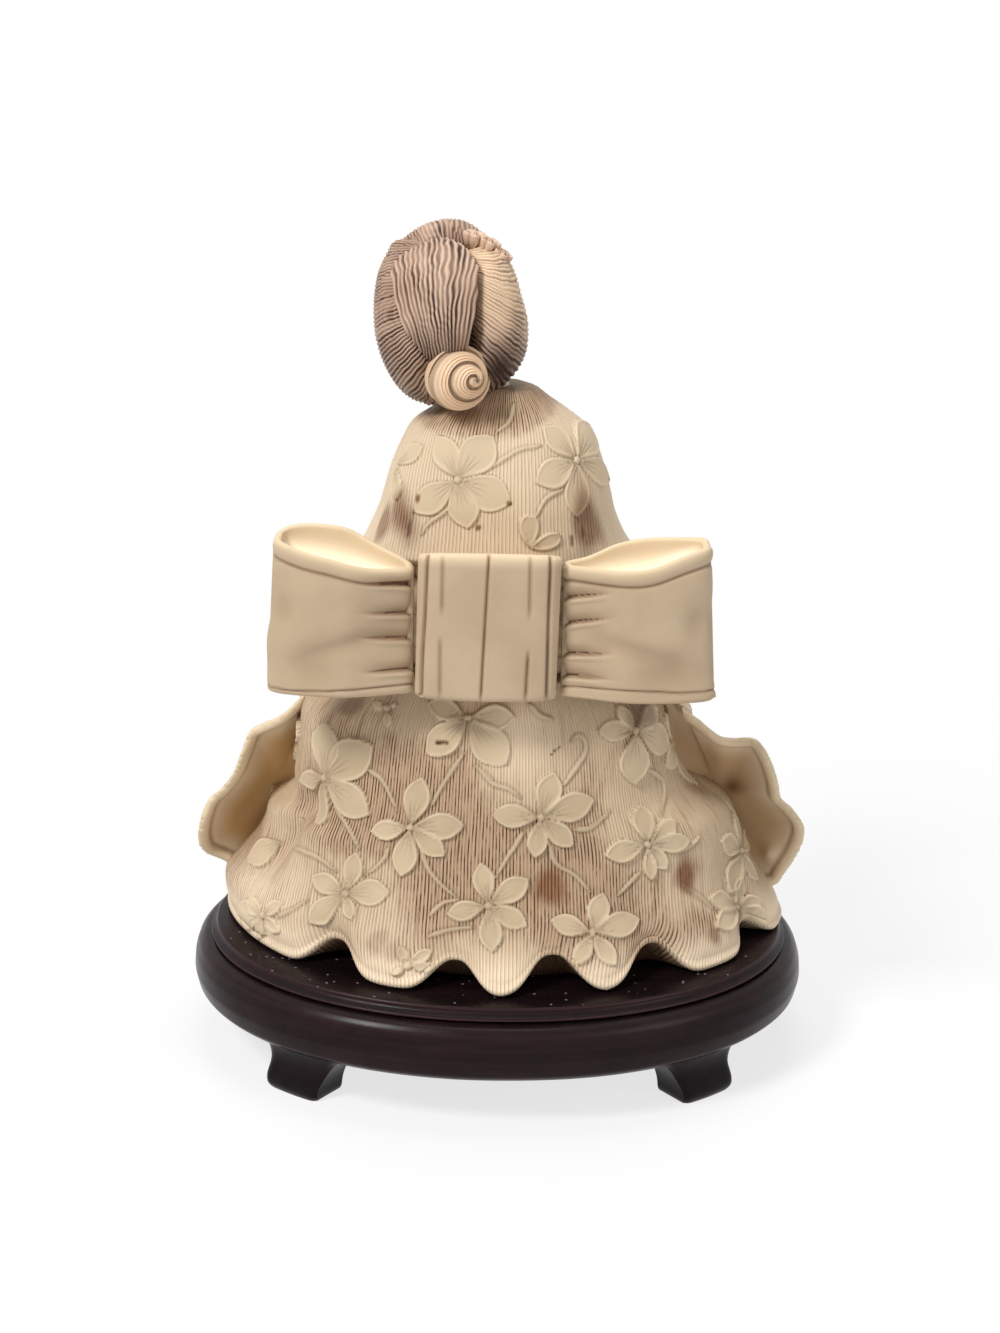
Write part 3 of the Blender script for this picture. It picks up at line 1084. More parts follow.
# Sash round the body, with soft pressed folds
def sash():
    angles = ring_angles(160)
    low, high = OBI[0][0], OBI[-1][0]
    heights = np.concatenate([[low, low + 0.2, low + 0.7], np.linspace(low + 1.3, high - 1.3, 60), [high - 0.7, high - 0.2, high]])
    rings = []
    for z in heights:
        inset = -0.4 * (max(low + 1.3 - z, 0) + max(z - high + 1.3, 0)) ** 2
        fold = 0.35 * math.cos(z * 2 * math.pi / 9) + 0.12 * math.cos(z * 2 * math.pi / 3.4)
        rings.append(section(along(OBI, np.full(len(angles), z)), angles, z, inset + fold))
    skin = Skin(np.stack(rings))
    z = skin.points[:, 2]
    for level in (106, 114.6, 123):
        skin.push(-0.5 * np.exp(-(((z - level) / 0.5) ** 2)))
        skin.masks["crease"] = np.maximum(skin.mask("crease"), 0.7 * np.exp(-(((z - level) / 0.5) ** 2)))
    cord = np.exp(-(((z - 115) / 1.6) ** 2) * 1.4)
    skin.push(1.1 * cord + 0.18 * cord * np.sin(skin.points[:, 0] * 3 + z * 2.2))
    return build("sash", [skin], PLAIN_FINISH, "obi_band")


# Bow
def knot():
    middle, half = (KNOT_LEFT + KNOT_RIGHT) / 2, (KNOT_RIGHT - KNOT_LEFT) / 2
    steps = 150
    heights = np.concatenate([
        BOW_BOTTOM + 1.6 * (1 - np.cos(np.linspace(0, math.pi / 2, 7))),
        np.linspace(BOW_BOTTOM + 2.2, KNOT_TOP - 2.6, 60),
        KNOT_TOP - 2 + 2 * np.sin(np.linspace(0, math.pi / 2, 8)),
    ])
    rings = []
    for z in heights:
        low, high = max(BOW_BOTTOM + 1.6 - z, 0) / 1.6, max(z - KNOT_TOP + 2, 0) / 2
        inset = 1.4 * (1 - math.sqrt(1 - low ** 2)) + 1.8 * (1 - math.sqrt(max(1 - high ** 2, 0)))
        taper = 0.9 * (KNOT_TOP - z) / (KNOT_TOP - BOW_BOTTOM)
        t = np.linspace(-1, 1, steps + 1)
        edge = 2.4 * np.abs(t) ** 9
        y = KNOT_FACE - KNOT_BULGE * (1 - t * t) + edge + inset
        x = middle - taper * 0.6 + t * (half - inset * 0.4)
        front = np.stack([x, y, np.full(len(t), z)], -1)
        depths = np.linspace(KNOT_FACE + 4, KNOT_BACK, 14)
        right = np.stack([np.full(14, x[-1]), depths, np.full(14, z)], -1)
        left = np.stack([np.full(14, x[0]), depths[::-1], np.full(14, z)], -1)
        ring = np.vstack([front, right, left])
        ring[:, 2] -= KNOT_SLOPE * smooth(z, 124, KNOT_TOP - 1.4) * (ring[:, 1] - KNOT_FACE)
        rings.append(ring)
    skin = Skin(np.stack(rings))
    px, py = skin.photo[:, 0], skin.photo[:, 1]
    groove = np.zeros(len(px))

    def line(top, bottom, depth, width, start=540, end=700):
        x = top + (bottom - top) * (py - 560) / 137
        shape = np.exp(-(((px - x) / width) ** 2)) * smooth(py, start - 8, start + 8) * smooth(py, end + 8, end - 8)
        return depth * shape

    for args in ((427, 420, 0.9, 1.7), (551, 547, 0.9, 1.7), (489, 481, 0.7, 1.5)):
        groove += line(*args)
    for args in ((443, 441, 0.5, 2, 559, 612), (441, 440, 0.5, 2, 641, 697), (531, 529, 0.5, 2, 559, 616),
                 (534, 526, 0.7, 1.8, 655, 700)):
        groove += line(*args)
    facing = skin.normals[:, 1] < -0.3
    groove *= facing
    skin.push(-groove)
    skin.push(0.25 * wander(skin.points, 22, 51) * facing)
    skin.masks["crease"] = 0.85 * np.clip(groove, 0, 1) ** 0.8
    skin.masks["glow"] = smooth(skin.points[:, 2], KNOT_TOP - 4, KNOT_TOP - 0.5)
    skin.refresh()
    return build("bow_knot", [skin], PLAIN_FINISH, "obi_knot", sharp=60)


LEFT_PLEATS = [(586.5, 583.5), (615, 615), (640, 640), (670, 674)]
RIGHT_PLEATS = [(599, 594), (625, 619), (655, 656), (676, 681)]


def bow_loop(name, replaced, form, pleats, seam):
    root = form["root"]
    side = math.copysign(1, form["end"] - root)
    length = abs(form["end"] - root)
    flare = (abs(form["low_end"]) - abs(form["end"])) / (KNOT_TOP - BOW_BOTTOM)
    angles = ring_angles(320)
    share = (1 - np.cos(angles)) / 2
    lateral = signed_power(np.sin(angles), 0.42)

    def ring(inset, height):
        place = inset / length + share * (1 - 2 * inset / length)
        swell = 0.5 + 0.5 * smooth(place, 0, 0.5)
        half = np.maximum(LOOP_HALF_DEPTH * swell - inset, 0.3)
        back, front = (along(form[key], place)[:, 1] for key in ("back", "front"))
        z = height(back + (front - back) * (1 + lateral) / 2, front)
        x = root + side * (length + flare * (KNOT_TOP - z)) * place
        return np.stack([x, LOOP_MIDDLE + 1.5 * place - half * lateral, z], -1)

    def lowest(lip, front):
        return np.full(len(angles), BOW_BOTTOM)

    rings = [ring(1 - math.sin(t), lambda lip, front: lowest(lip, front) + 1 - math.cos(t)) for t in np.linspace(0, math.pi / 2, 6)]
    for t in np.linspace(0.01, 1, 90):
        rings.append(ring(0, lambda lip, front: (BOW_BOTTOM + 1) * (1 - t) + (lip - 1) * t))
    for t in np.radians([15, 30, 45, 60, 75, 90, 105, 120, 135, 150, 165, 180]):
        roll = LOOP_WALL / 2
        rings.append(ring(roll - roll * math.cos(t), lambda lip, front: lip - 1 + roll * math.sin(t)))
    for t in np.linspace(0.06, 1, 18):
        floor = math.sin(t * math.pi / 2) ** 0.8
        rings.append(ring(LOOP_WALL + 3.9 * t ** 1.6,
                          lambda lip, front: (lip - 1) * (1 - floor) + (front - LOOP_DISH_DEPTH) * floor))
    middle = rings[-1].mean(axis=0)
    rings.append(rings[-1] * 0.5 + middle * 0.5)
    skin = Skin(np.stack(rings))
    row = np.repeat(np.arange(skin.rows), skin.sides)
    px, py = skin.photo[:, 0], skin.photo[:, 1]
    wall = (skin.normals[:, 1] < -0.3) & (row > 4) & (row < 98)
    place = side * (skin.points[:, 0] - root) / length
    root_x = 412 if side < 0 else 562
    reach = np.abs(px - root_x)
    groove = np.zeros(len(px))
    slope = np.zeros(len(px))
    ridge = np.zeros(len(px))
    for near, far in pleats:
        level = near + (far - near) * np.clip(reach / 52, 0, 1.4)
        fade = smooth(reach, 54, 22)
        groove += np.exp(-(((py - level) / 1.1) ** 2)) * fade
        slope += np.where(py < level, np.exp(-(((py - level) / 8) ** 2)), 0) * smooth(reach, 62, 12)
        ridge += np.exp(-(((py - level - 4) / 2.2) ** 2)) * fade
    lip = seam(px)
    groove_lip = np.exp(-(((py - lip) / 1.1) ** 2))
    height = skin.points[:, 2]
    top = along(form["front"], np.clip(place, 0, 1))[:, 1]
    groove_top = np.exp(-(((height - top + 3.4 + 0.8 * place) / 0.45) ** 2))
    dents = 1.1 * bump(place - 0.76, height - 108, 0.2, 4.2) + 0.9 * bump(place - 0.5, height - 117.5 + 8 * place, 0.3, 2.6)
    dents += 0.8 * bump(place - 0.93, height - 121, 0.1, 5) + 0.4 * wander(skin.points, 24, 61)
    dents *= 1.4
    swell = 0.5 * np.exp(-(((height - top + 1.6) / 1.5) ** 2))
    total = wall * (-0.7 * groove - 1.0 * slope + 0.35 * ridge - 0.55 * groove_lip - 0.55 * groove_top - dents + swell)
    skin.push(total)
    skin.masks["crease"] = wall * np.clip(groove * 0.9 + groove_lip * 0.85 + groove_top * 0.8 + 0.42 * slope + 0.2 * dents, 0, 1)
    skin.masks["inside"] = smooth(row, 106, 118) * 0.9
    skin.masks["glow"] = np.exp(-(((row - 103) / 8) ** 2))
    skin.refresh()
    return build(name, [skin], PLAIN_FINISH, replaced)


def left_seam(x):
    return np.interp(x, [262, 271, 290, 325, 357, 411], [680, 687, 691, 692, 690, 684])


def right_seam(x):
    return np.interp(x, [559, 620, 680, 705, 716], [686, 691, 694, 692, 688])


sash()
knot()
bow_loop("bow_left", "bow_loop_left", LOOP_LEFT, LEFT_PLEATS, left_seam)
bow_loop("bow_right", "bow_loop_right", LOOP_RIGHT, RIGHT_PLEATS, right_seam)


# Sleeves: an arm and a hanging bag with a rolled rim, joined into one smooth body
def remeshed(skins, voxel, name):
    """Joins overlapping skins into one even skin of small faces, as points and quads."""
    points, faces, start = [], [], 0
    for skin in skins:
        closed = np.vstack([skin.points, skin.ends[0], skin.ends[1]])
        quads, fans = skin.quads + start, skin.fans + start
        if skin.outward < 0:
            quads, fans = quads[:, ::-1], fans[:, ::-1]
        faces += quads.tolist() + fans.tolist()
        points.append(closed)
        start += len(closed)
    mesh = bpy.data.meshes.new(name)
    mesh.from_pydata((np.vstack(points) * MM).tolist(), [], faces)
    piece = bpy.data.objects.new(name, mesh)
    bpy.context.scene.collection.objects.link(piece)
    modifier = piece.modifiers.new("remesh", "REMESH")
    modifier.mode = "VOXEL"
    modifier.voxel_size = voxel * MM
    modifier.use_smooth_shade = True
    graph = bpy.context.evaluated_depsgraph_get()
    even = bpy.data.meshes.new_from_object(piece.evaluated_get(graph))
    piece.modifiers.clear()
    piece.data = even
    bpy.data.meshes.remove(mesh)
    return piece


def mesh_arrays(mesh):
    places = np.empty(len(mesh.vertices) * 3)
    normals = np.empty(len(mesh.vertices) * 3)
    mesh.vertices.foreach_get("co", places)
    mesh.vertex_normals.foreach_get("vector", normals)
    return places.reshape(-1, 3) / MM, normals.reshape(-1, 3)


def relax(mesh, rounds):
    """Evens out the small steps that remeshing leaves."""
    edges = np.empty(len(mesh.edges) * 2, dtype=np.int32)
    mesh.edges.foreach_get("vertices", edges)
    a, b = edges.reshape(-1, 2).T
    places, _ = mesh_arrays(mesh)
    count = np.bincount(np.concatenate([a, b]), minlength=len(places))[:, None]
    for n in range(rounds * 2):
        total = np.zeros_like(places)
        for axis in range(3):
            total[:, axis] = np.bincount(a, places[b, axis], len(places)) + np.bincount(b, places[a, axis], len(places))
        share = 0.5 if n % 2 == 0 else -0.52
        places += (total / np.maximum(count, 1) - places) * share
    mesh.vertices.foreach_set("co", (places * MM).reshape(-1))
    mesh.update()


def finish_piece(piece, masks, material, replaced, body="figurine"):
    for key, values in masks.items():
        piece.data.attributes.new(key, "FLOAT", "POINT").data.foreach_set("value", values.astype(np.float32))
    piece.data.shade_smooth()
    piece.data.transform(FIGURE_PLACE)
    piece.data.materials.clear()
    piece.data.materials.append(material)
    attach(piece, body)
    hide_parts(replaced)
    return piece


def bag_outline(side, sides):
    points = BAG_TOP + (BAG_OUTER_LEFT if side < 0 else BAG_OUTER_RIGHT) + BAG_INNER
    return curve_through([(x, 0, z) for x, z in points], sides, closed=True)


def bag_skin(side):
    sides = 240
    outline = bag_outline(side, sides)
    centre_x, centre_z = SLEEVE_CENTRE
    turn = np.arange(sides) / sides

    def surface(share, thick):
        x = centre_x + (outline[:, 0] - centre_x) * share
        z = centre_z + (outline[:, 2] - centre_z) * share
        flutter = 1.2 * np.sin(10 * math.pi * turn) * share ** 6
        lean = -4 + 0.0072 * (z - 74) ** 2
        y = lean + SLEEVE_HOLLOW * (1 - share ** 2) + flutter + thick
        return np.stack([x * side, y, z], -1)

    rings = [surface(t, 0) for t in np.concatenate([[0.1, 0.2], np.linspace(0.3, 0.95, 20)])]
    rings += [surface(1 - 0.012 * (1 - math.sin(t)), 1.1 * (1 - math.cos(t))) for t in np.radians([60, 90, 120, 150])]
    rings += [surface(t, SLEEVE_WALL) for t in (0.985, 0.96, 0.9, 0.8, 0.65, 0.5, 0.3, 0.12)]
    return Skin(np.stack(rings))


def sleeve(name, side):
    grid = oval_tube(SLEEVE_ARM, 60, 72, np.array([1, 0, 0])) * np.array([side, 1, 1])
    arm = Skin(grid)
    recess = bag_skin(side)
    piece = remeshed([arm, recess], 0.5, name)
    relax(piece.data, 4)
    places, normals = mesh_arrays(piece.data)
    x, y, z = places.T
    outline = bag_outline(side, 240)[:, [0, 2]]
    tree = KDTree(len(outline))
    for n, (ox, oz) in enumerate(outline):
        tree.insert((ox, oz, 0), n)
    tree.balance()
    away = np.array([tree.find((abs(px), pz, 0))[2] for px, pz in zip(x, z)])
    hollow = smooth(-normals[:, 1], -0.3, 0.45) * smooth(np.abs(x), 41, 46) * smooth(z, 108, 98)
    rim = hollow * np.exp(-(((away - 1.1) / 1.1) ** 2))
    border = hollow * np.exp(-(((away - 2.8) / 0.5) ** 2))
    px, py = seen(places).T
    curl = hollow * bump(px - 771, py - 853, 8, 8)
    blotch = hollow * bump(px - 734, py - 787, 10, 9)
    places += normals * (0.9 * rim - 0.6 * border + 1.4 * curl)[:, None]
    piece.data.vertices.foreach_set("co", (places * MM).reshape(-1))
    relax(piece.data, 2)
    masks = {
        "crease": 0.55 * border * smooth(-normals[:, 1], 0.1, 0.5),
        "inside": (0.9 if side < 0 else 0.62) * hollow * smooth(away, 1.8, 9) * (1 - 0.6 * curl) * smooth(z, 102, 93),
        "rust": np.clip(blotch * (1 + 0.5 * wander(places, 6, 83)), 0, 1),
        "glow": 0.3 * rim + 0.4 * curl,
    }
    return finish_piece(piece, masks, SLEEVE_FINISH, name.replace("robe_", ""))


sleeve("robe_sleeve_left", -1)
sleeve("robe_sleeve_right", 1)


# Collar: a folded band round the neck opening that dips to a point at the front
COLLAR_LINE = [(0, 142.5), (14, 150), (23, 156), (31, 160), (44, 164), (62, 166.4), (90, 167.1), (180, 167.2)]


def collar():
    steps = 260
    around = np.linspace(math.pi / 2 + 0.05, 2.5 * math.pi - 0.05, steps + 1)
    lines = along(COLLAR_LINE, np.abs(degrees_from(around, 90)))[:, 1]
    profile = [(-1, 0.4), (-1, 1.3), (-0.96, 1.75), (-0.85, 2.0), (-0.5, 2.15), (-0.12, 2.1), (0.0, 1.8), (0.12, 2.15),
               (0.5, 2.3), (0.85, 2.1), (0.97, 1.8), (1, 1.3), (1, 0.5)]
    rings = []
    for angle, line in zip(around, lines):
        nape = smooth(line, 157, 165)
        behind = smooth(abs(degrees_from(angle, 90)), 45, 85)
        ring = []
        for share, grow in profile:
            level = line + (2.3 - 1.5 * nape) * share
            out = grow * (1 - 0.6 * nape) - 2 * behind
            ring.append(section(along(YOKE, min(level, 168)), np.array(angle), level + 0.2 * nape, out))
        rings.append(ring)
    skin = Skin(np.array(rings))
    column = np.tile(np.arange(len(profile)), steps + 1)
    skin.masks["crease"] = np.isin(column, [6]) * 0.6
    return build("robe_collar", [skin], SLEEVE_FINISH, "collar", sharp=60)


collar()


# Head
def turned(points, angle, first, second):
    out = points.copy()
    out[..., first] = points[..., first] * math.cos(angle) - points[..., second] * math.sin(angle)
    out[..., second] = points[..., first] * math.sin(angle) + points[..., second] * math.cos(angle)
    return out


def head_to_world(points):
    out = turned(points, HEAD_TURN, 0, 1)
    out = turned(out, HEAD_BOW, 1, 2)
    out = turned(out, HEAD_LEAN, 2, 0)
    return out + HEAD_PLACE


def face_forms(across, up):
    """Height of the features over the skull, from degrees across and up, and their painted lines."""
    side = np.abs(across)
    nose = 2.5 * bump(side, up + 9.5, 6.5, 6) + 1.3 * bump(side, up - 1, 5, 11)
    wings = 0.75 * bump(side - 7.5, up + 11.5, 3.2, 3.2)
    socket = -1.2 * bump(side - 19, up - 5.5, 12, 7.5)
    ball = 0.95 * bump(side - 20, up - 3.2, 7.5, 4.2)
    brow = 0.45 * bump(side - 20, up - 13.5 + 0.012 * (side - 22) ** 2, 13, 2.4)
    mouth_line = -28.2 + 0.012 * side ** 2
    upper = 0.55 * bump(side, up - mouth_line - 2.1 + 0.5 * np.exp(-((side / 2) ** 2)), 8.5, 1.7)
    lower = 0.7 * bump(side, up - mouth_line + 2.2, 7, 2.1)
    parting = np.exp(-(((up - mouth_line) / 0.65) ** 2)) * smooth(side, 11, 8)
    philtrum = -0.22 * bump(side, up + 21.5, 1.6, 3)
    chin = 1.0 * bump(side, up + 47, 13, 9)
    under_lip = -0.4 * bump(side, up + 36.5, 9, 3)
    cheek = 0.5 * bump(side - 32, up + 14, 14, 13)
    lid_line = 0.4 + 0.014 * (side - 20) ** 2 * np.where(side > 20, 0.6, 0.9)
    lash = np.exp(-(((up - lid_line) / 0.75) ** 2)) * smooth(np.abs(side - 20), 9.5, 7)
    fold_line = 7.6 - 0.028 * (side - 19.5) ** 2
    fold = np.exp(-(((up - fold_line) / 0.7) ** 2)) * smooth(np.abs(side - 20), 9.5, 6)
    nostril = bump(side - 4, up + 14.6, 1.4, 1.1)
    out = nose + wings + socket + ball + brow + upper + lower + philtrum + chin + under_lip + cheek
    out += -0.42 * parting - 0.3 * lash - 0.24 * fold - 0.6 * nostril
    brow_line = 15.2 - 0.016 * (side - 18) ** 2
    brow_paint = np.exp(-(((up - brow_line) / 1.15) ** 2)) * smooth(np.abs(side - 21), 12, 7)
    paint_lines = np.clip(parting * 0.75 + lash * 0.95 + fold * 0.3 + nostril * 0.7 + brow_paint * 0.55, 0, 1)
    lips = np.clip(upper / 0.55 + lower / 0.7, 0, 1)
    return out, paint_lines, smooth(lips, 0.35, 0.8)


def head_piece():
    sides, rows = 300, 220
    s = np.arange(sides) / sides * 2 - 1
    turn = math.pi * (0.5 * s + 0.5 * s ** 3)
    tilt = np.radians(np.concatenate([np.linspace(-82, -62, 20), np.linspace(-61, 28, 160), np.linspace(29, 82, 30)]))
    turn, tilt = np.meshgrid(turn, tilt)
    across, up = np.degrees(turn), np.degrees(tilt)
    jaw = smooth(-up, 0, 75)
    frontal = np.maximum(np.cos(turn), 0)
    out, lines, lips = face_forms(across, up)
    x, y, z = np.sin(turn) * np.cos(tilt), np.cos(turn) * np.cos(tilt), np.sin(tilt)
    points = np.stack([
        SKULL_CENTRE[0] + x * (SKULL_X * (1 - 0.24 * jaw) + out * 0.4),
        SKULL_CENTRE[1] + y * (SKULL_Y * (1 - 0.08 * jaw * frontal) + out),
        SKULL_CENTRE[2] + z * SKULL_Z - 0.15 * out * frontal,
    ], -1)
    skull = Skin(head_to_world(points))
    skull.masks["crease"] = lines.reshape(-1)
    skull.masks["inside"] = lips.reshape(-1) * 0.6
    neck_rows = [(-3.2, -0.6, 166, 5.2, 5.6), (-5.2, -0.4, 169, 5, 5.6), (-6.9, 0.1, 171.5, 5, 5.6), (-8.6, 1, 175.5, 5.2, 6)]
    neck = Skin(oval_tube(neck_rows, 24, 72, np.array([1, 0, 0])))
    return build("head_face", [skull, neck], SKIN_FINISH, "head")


head_piece()


# Hair: strands are laid out in the photograph's frame, so that they run as it shows
def strand_grooves(skin, order, pitch, depth, seed):
    """Cuts strands a pitch apart along the lines where order, in pixels, is constant."""
    sway = 0.6 * wander(skin.points, 15, seed) + 0.2 * wander(skin.points, 4.5, seed + 1)
    phase = order / pitch + sway
    tent = np.abs((phase + 0.5) % 1 - 0.5) * 2
    rng = np.random.default_rng(seed)
    weights = rng.uniform(0.5, 1.15, 400)
    strength = weights[np.floor(phase + 0.5).astype(int) % 400] * (0.8 + 0.25 * wander(skin.points, 9, seed + 2))
    groove = smooth(1 - tent, 0.24, 0.72) * np.clip(strength, 0.2, 1)
    ridge = np.cos(2 * math.pi * (phase + 0.5)) * 0.5
    skin.push(depth * (0.45 * ridge - groove))
    skin.masks["groove"] = np.clip(groove * 1.25, 0, 1)
    skin.masks["shade"] = np.zeros(len(order))
    skin.masks["clean"] = np.zeros(len(order))


def hair_tube(rows, steps, sides, reference):
    grid, ends = rounded_ends(oval_tube(rows, steps, sides, np.asarray(reference, float)), 0.5, 8)
    return Skin(head_to_world(grid), [head_to_world(np.asarray(end)) for end in ends])


def turn_about(skin, centre, scale):
    return np.arctan2(skin.photo[:, 0] - centre[0], centre[1] - skin.photo[:, 1]) * scale


def hairdress():
    panel = hair_tube([
        (-1.2, -4, 18, 4.6, 3), (-2.3, -9, 16.2, 8.1, 3.6), (-3.3, -12.2, 13.8, 10.2, 3.8),
        (-3.8, -15, 9.9, 10.1, 4), (-4.1, -16.4, 5, 9.3, 3.8), (-3.8, -16.8, 0.1, 8, 3.4),
        (-3.2, -16, -4.4, 6, 2.8), (-2.2, -13.4, -7.5, 4.5, 2.4),
    ], 120, 200, (1, 0, 0))
    strand_grooves(panel, turn_about(panel, (445, 480), 165), 4.2, 0.5, 71)
    panel.masks["shade"] = 0.4 * smooth(panel.photo[:, 1], 315, 350)
    build("hair_shield", [panel], HAIR_FINISH, "hair_back_panel")
    left = hair_tube([
        (-8.5, -2, 18, 6.5, 5.4), (-11.2, -3.5, 11.5, 10, 6.4), (-12.4, -4.5, 4, 11.5, 6.8),
        (-12.4, -5, -1.5, 12, 6.8), (-11.3, -5.5, -6.5, 11.5, 6.6), (-9.2, -6.5, -11.3, 9.5, 6),
        (-6.6, -8, -14.6, 6.5, 4.2),
    ], 140, 200, (0, 1, 0))
    strand_grooves(left, turn_about(left, (505, 265), 125), 3.6, 0.36, 72)
    left.masks["shade"] = 0.1 + 0.35 * smooth(left.photo[:, 1] - 0.5 * left.photo[:, 0], 120, 200)
    build("hair_left", [left], HAIR_FINISH, "hair_wing_left")
    right = hair_tube([
        (6.2, -2.6, 14.6, 6, 4.8), (8.6, -3, 11, 9, 6.6), (9.4, -4.5, 4, 11.5, 7.2), (9.9, -5, -2, 12, 7.3),
        (8.8, -6, -7, 11, 7), (6.4, -7, -11.4, 8.5, 5.6), (4.4, -7, -14, 6, 4),
    ], 140, 200, (0, 1, 0))
    strand_grooves(right, turn_about(right, (402, 257), 100), 3.5, 0.3, 73)
    px, py = right.photo.T
    right.masks["shade"] = np.maximum(bump(px - 500, py - 370, 25, 28), 0.6 * smooth(py, 368, 382))
    right.masks["clean"] = smooth(py, 352, 300)
    build("hair_right", [right], HAIR_FINISH, "hair_wing_right")
    roll = hair_tube([
        (-12.6, 5, -3, 4.2, 4.2), (-12.4, 6.5, 6, 5, 5.4), (-6.8, 6.5, 15.6, 6, 7), (1, 5.5, 18.4, 6, 7.3),
        (5.8, 6.5, 14.9, 6, 6.5), (11.3, 6.5, 5.6, 4.7, 4.9), (12, 5, -3, 4.2, 4),
    ], 200, 160, (0, 1, 0))
    strand_grooves(roll, turn_about(roll, (455, 330), 100), 4, 0.38, 74)
    roll.masks["shade"] = 0.8 * bump(roll.photo[:, 0] - 474, roll.photo[:, 1] - 246, 8, 10)
    build("hair_roll", [roll], HAIR_FINISH, "hair_front_roll")


BUN_PLACE = np.array([-3.6, -10, -11.8])
BUN_RADIUS = 8
BUN_DEPTH = 15
BUN_TURNS = 2.6
BUN_AIM = np.array([0.5, -1, -0.1])


def aimed(points, aim):
    """Turns points whose own up is +Z so that it looks along aim."""
    z = aim / np.linalg.norm(aim)
    x = np.cross([0, 0, 1], z)
    x /= np.linalg.norm(x)
    y = np.cross(z, x)
    return points @ np.stack([x, y, z])


def bun():
    sides, rows = 240, 130
    share = np.linspace(1, 0.015, rows)[:, None]
    angle = ring_angles(sides)[None]
    phase = share * BUN_TURNS - angle / (2 * math.pi)
    groove = 1.0 * np.abs(np.cos(math.pi * phase)) ** 10
    swell = 0.5 * np.abs(np.sin(math.pi * phase)) ** 0.7
    fine = 0.2 * np.cos(2 * math.pi * phase * 5 + 0.6 * np.sin(angle * 3))
    r = BUN_RADIUS * share
    rise = BUN_DEPTH * (0.4 + 0.6 * (1 - share * 0.995) ** 0.8) - groove + swell + fine
    dome = np.stack([r * np.cos(angle), r * np.sin(angle) * 0.96, rise + 0 * angle], -1)
    foot = [dome[0] * np.array([1 - 0.2 * t, 1 - 0.2 * t, 0]) + np.array([0, 0, 1]) * dome[0, :, 2:].mean() * (1 - t)
            for t in (1, 0.6, 0.3, 0.1)]
    grid = np.concatenate([np.stack(foot), dome])
    skin = Skin(head_to_world(aimed(grid, BUN_AIM) + BUN_PLACE))
    extra = np.zeros((4, sides))
    skin.masks["groove"] = np.concatenate([extra, 0.75 * groove + 0.35 * np.clip(-fine / 0.2, 0, 1) ** 2]).reshape(-1)
    skin.masks["shade"] = 0.75 * np.concatenate([np.zeros(4 * sides), np.repeat(smooth(share[:, 0], 0.16, 0.03), sides)])
    skin.masks["clean"] = np.full(len(skin.points), 0.85)
    return build("hair_coil", [skin], HAIR_FINISH, "hair_bun")


HAIR_BLOSSOMS = [("upper", (7, -5, 20), 3), ("middle", (10.2, -5.4, 18), 2.8), ("lower", (12.8, -5.6, 15), 2.6)]


def hair_blossoms():
    sides = 120
    angles = ring_angles(sides)
    petals = 0.62 + 0.38 * np.abs(np.cos(2.5 * angles)) ** 0.8
    for name, place, radius in HAIR_BLOSSOMS:
        rings = []
        for scale, height in ((0.7, -2.5), (0.95, -0.4), (1, 0.2), (1.01, 0.7), (0.97, 1.1)):
            rings.append(np.stack([radius * scale * petals * np.cos(angles), radius * scale * petals * np.sin(angles),
                                   np.full(sides, height)], -1))
        for t in np.linspace(0.9, 0.05, 14):
            vein = -0.25 * np.abs(np.sin(2.5 * angles)) ** 6
            height = 0.55 + 0.6 * t ** 2 + vein + 0.9 * math.exp(-((t / 0.26) ** 4))
            rings.append(np.stack([radius * t * petals * np.cos(angles), radius * t * petals * np.sin(angles), height], -1))
        grid = aimed(np.stack(rings), np.array([place[0], -6, place[2]])) + np.array(place)
        skin = Skin(head_to_world(grid))
        row = np.repeat(np.arange(skin.rows), sides)
        veins = np.tile(np.abs(np.sin(2.5 * angles)) ** 8, skin.rows)
        skin.masks["crease"] = 0.5 * veins * (row > 4)
        build(f"hair_flower_{name}", [skin], BLOSSOM_FINISH, f"hair_blossom_{name}")


hairdress()
bun()
hair_blossoms()


# Hands, laid one over the other on the lap
def hand(name, side, lift, replaced):
    def finger(points, radius):
        rows = [(x, y, z, radius * (1 - 0.12 * i), radius * (1 - 0.12 * i)) for i, (x, y, z) in enumerate(points)]
        grid, ends = rounded_ends(oval_tube(rows, 12, 20, np.array([0, 0, 1])), 1.0, 5)
        return Skin(grid, ends)

    palm_rows = [(15, 32, 95.5, 3, 3.6), (10.5, 36, 94.5, 2.9, 4.2), (5.5, 39.5, 93.5, 2.6, 4.8), (1.5, 41.5, 92.8, 1.9, 4.4)]
    grid, ends = rounded_ends(oval_tube(palm_rows, 24, 48, np.array([0, 0, 1])), 0.6, 6)
    skins = [Skin(grid, ends)]
    for i in range(4):
        spread = (i - 1.5) * 2.3
        reach = 8.4 - 0.9 * abs(i - 1.3)
        x, y = 2.4 - spread * 0.35, 41 + spread * 0.9
        skins.append(finger([(x, y, 92.9), (x - reach * 0.5, y + 1.2, 92.6), (x - reach, y + 1.6, 91.4)], 1.25))
    skins.append(finger([(9, 34.5, 95), (4.5, 34.6, 95.4), (0.5, 35.4, 95)], 1.35))
    for skin in skins:
        skin.points = (skin.points + np.array([0, 0, lift])) * np.array([side, 1, 1])
        skin.ends = tuple((end + np.array([0, 0, lift])) * np.array([side, 1, 1]) for end in skin.ends)
        skin.outward *= side
    piece = remeshed(skins, 0.3, name)
    relax(piece.data, 2)
    count = len(piece.data.vertices)
    masks = {"crease": np.zeros(count), "inside": np.zeros(count), "rust": np.zeros(count), "glow": np.zeros(count)}
    return finish_piece(piece, masks, SKIN_FINISH, replaced)


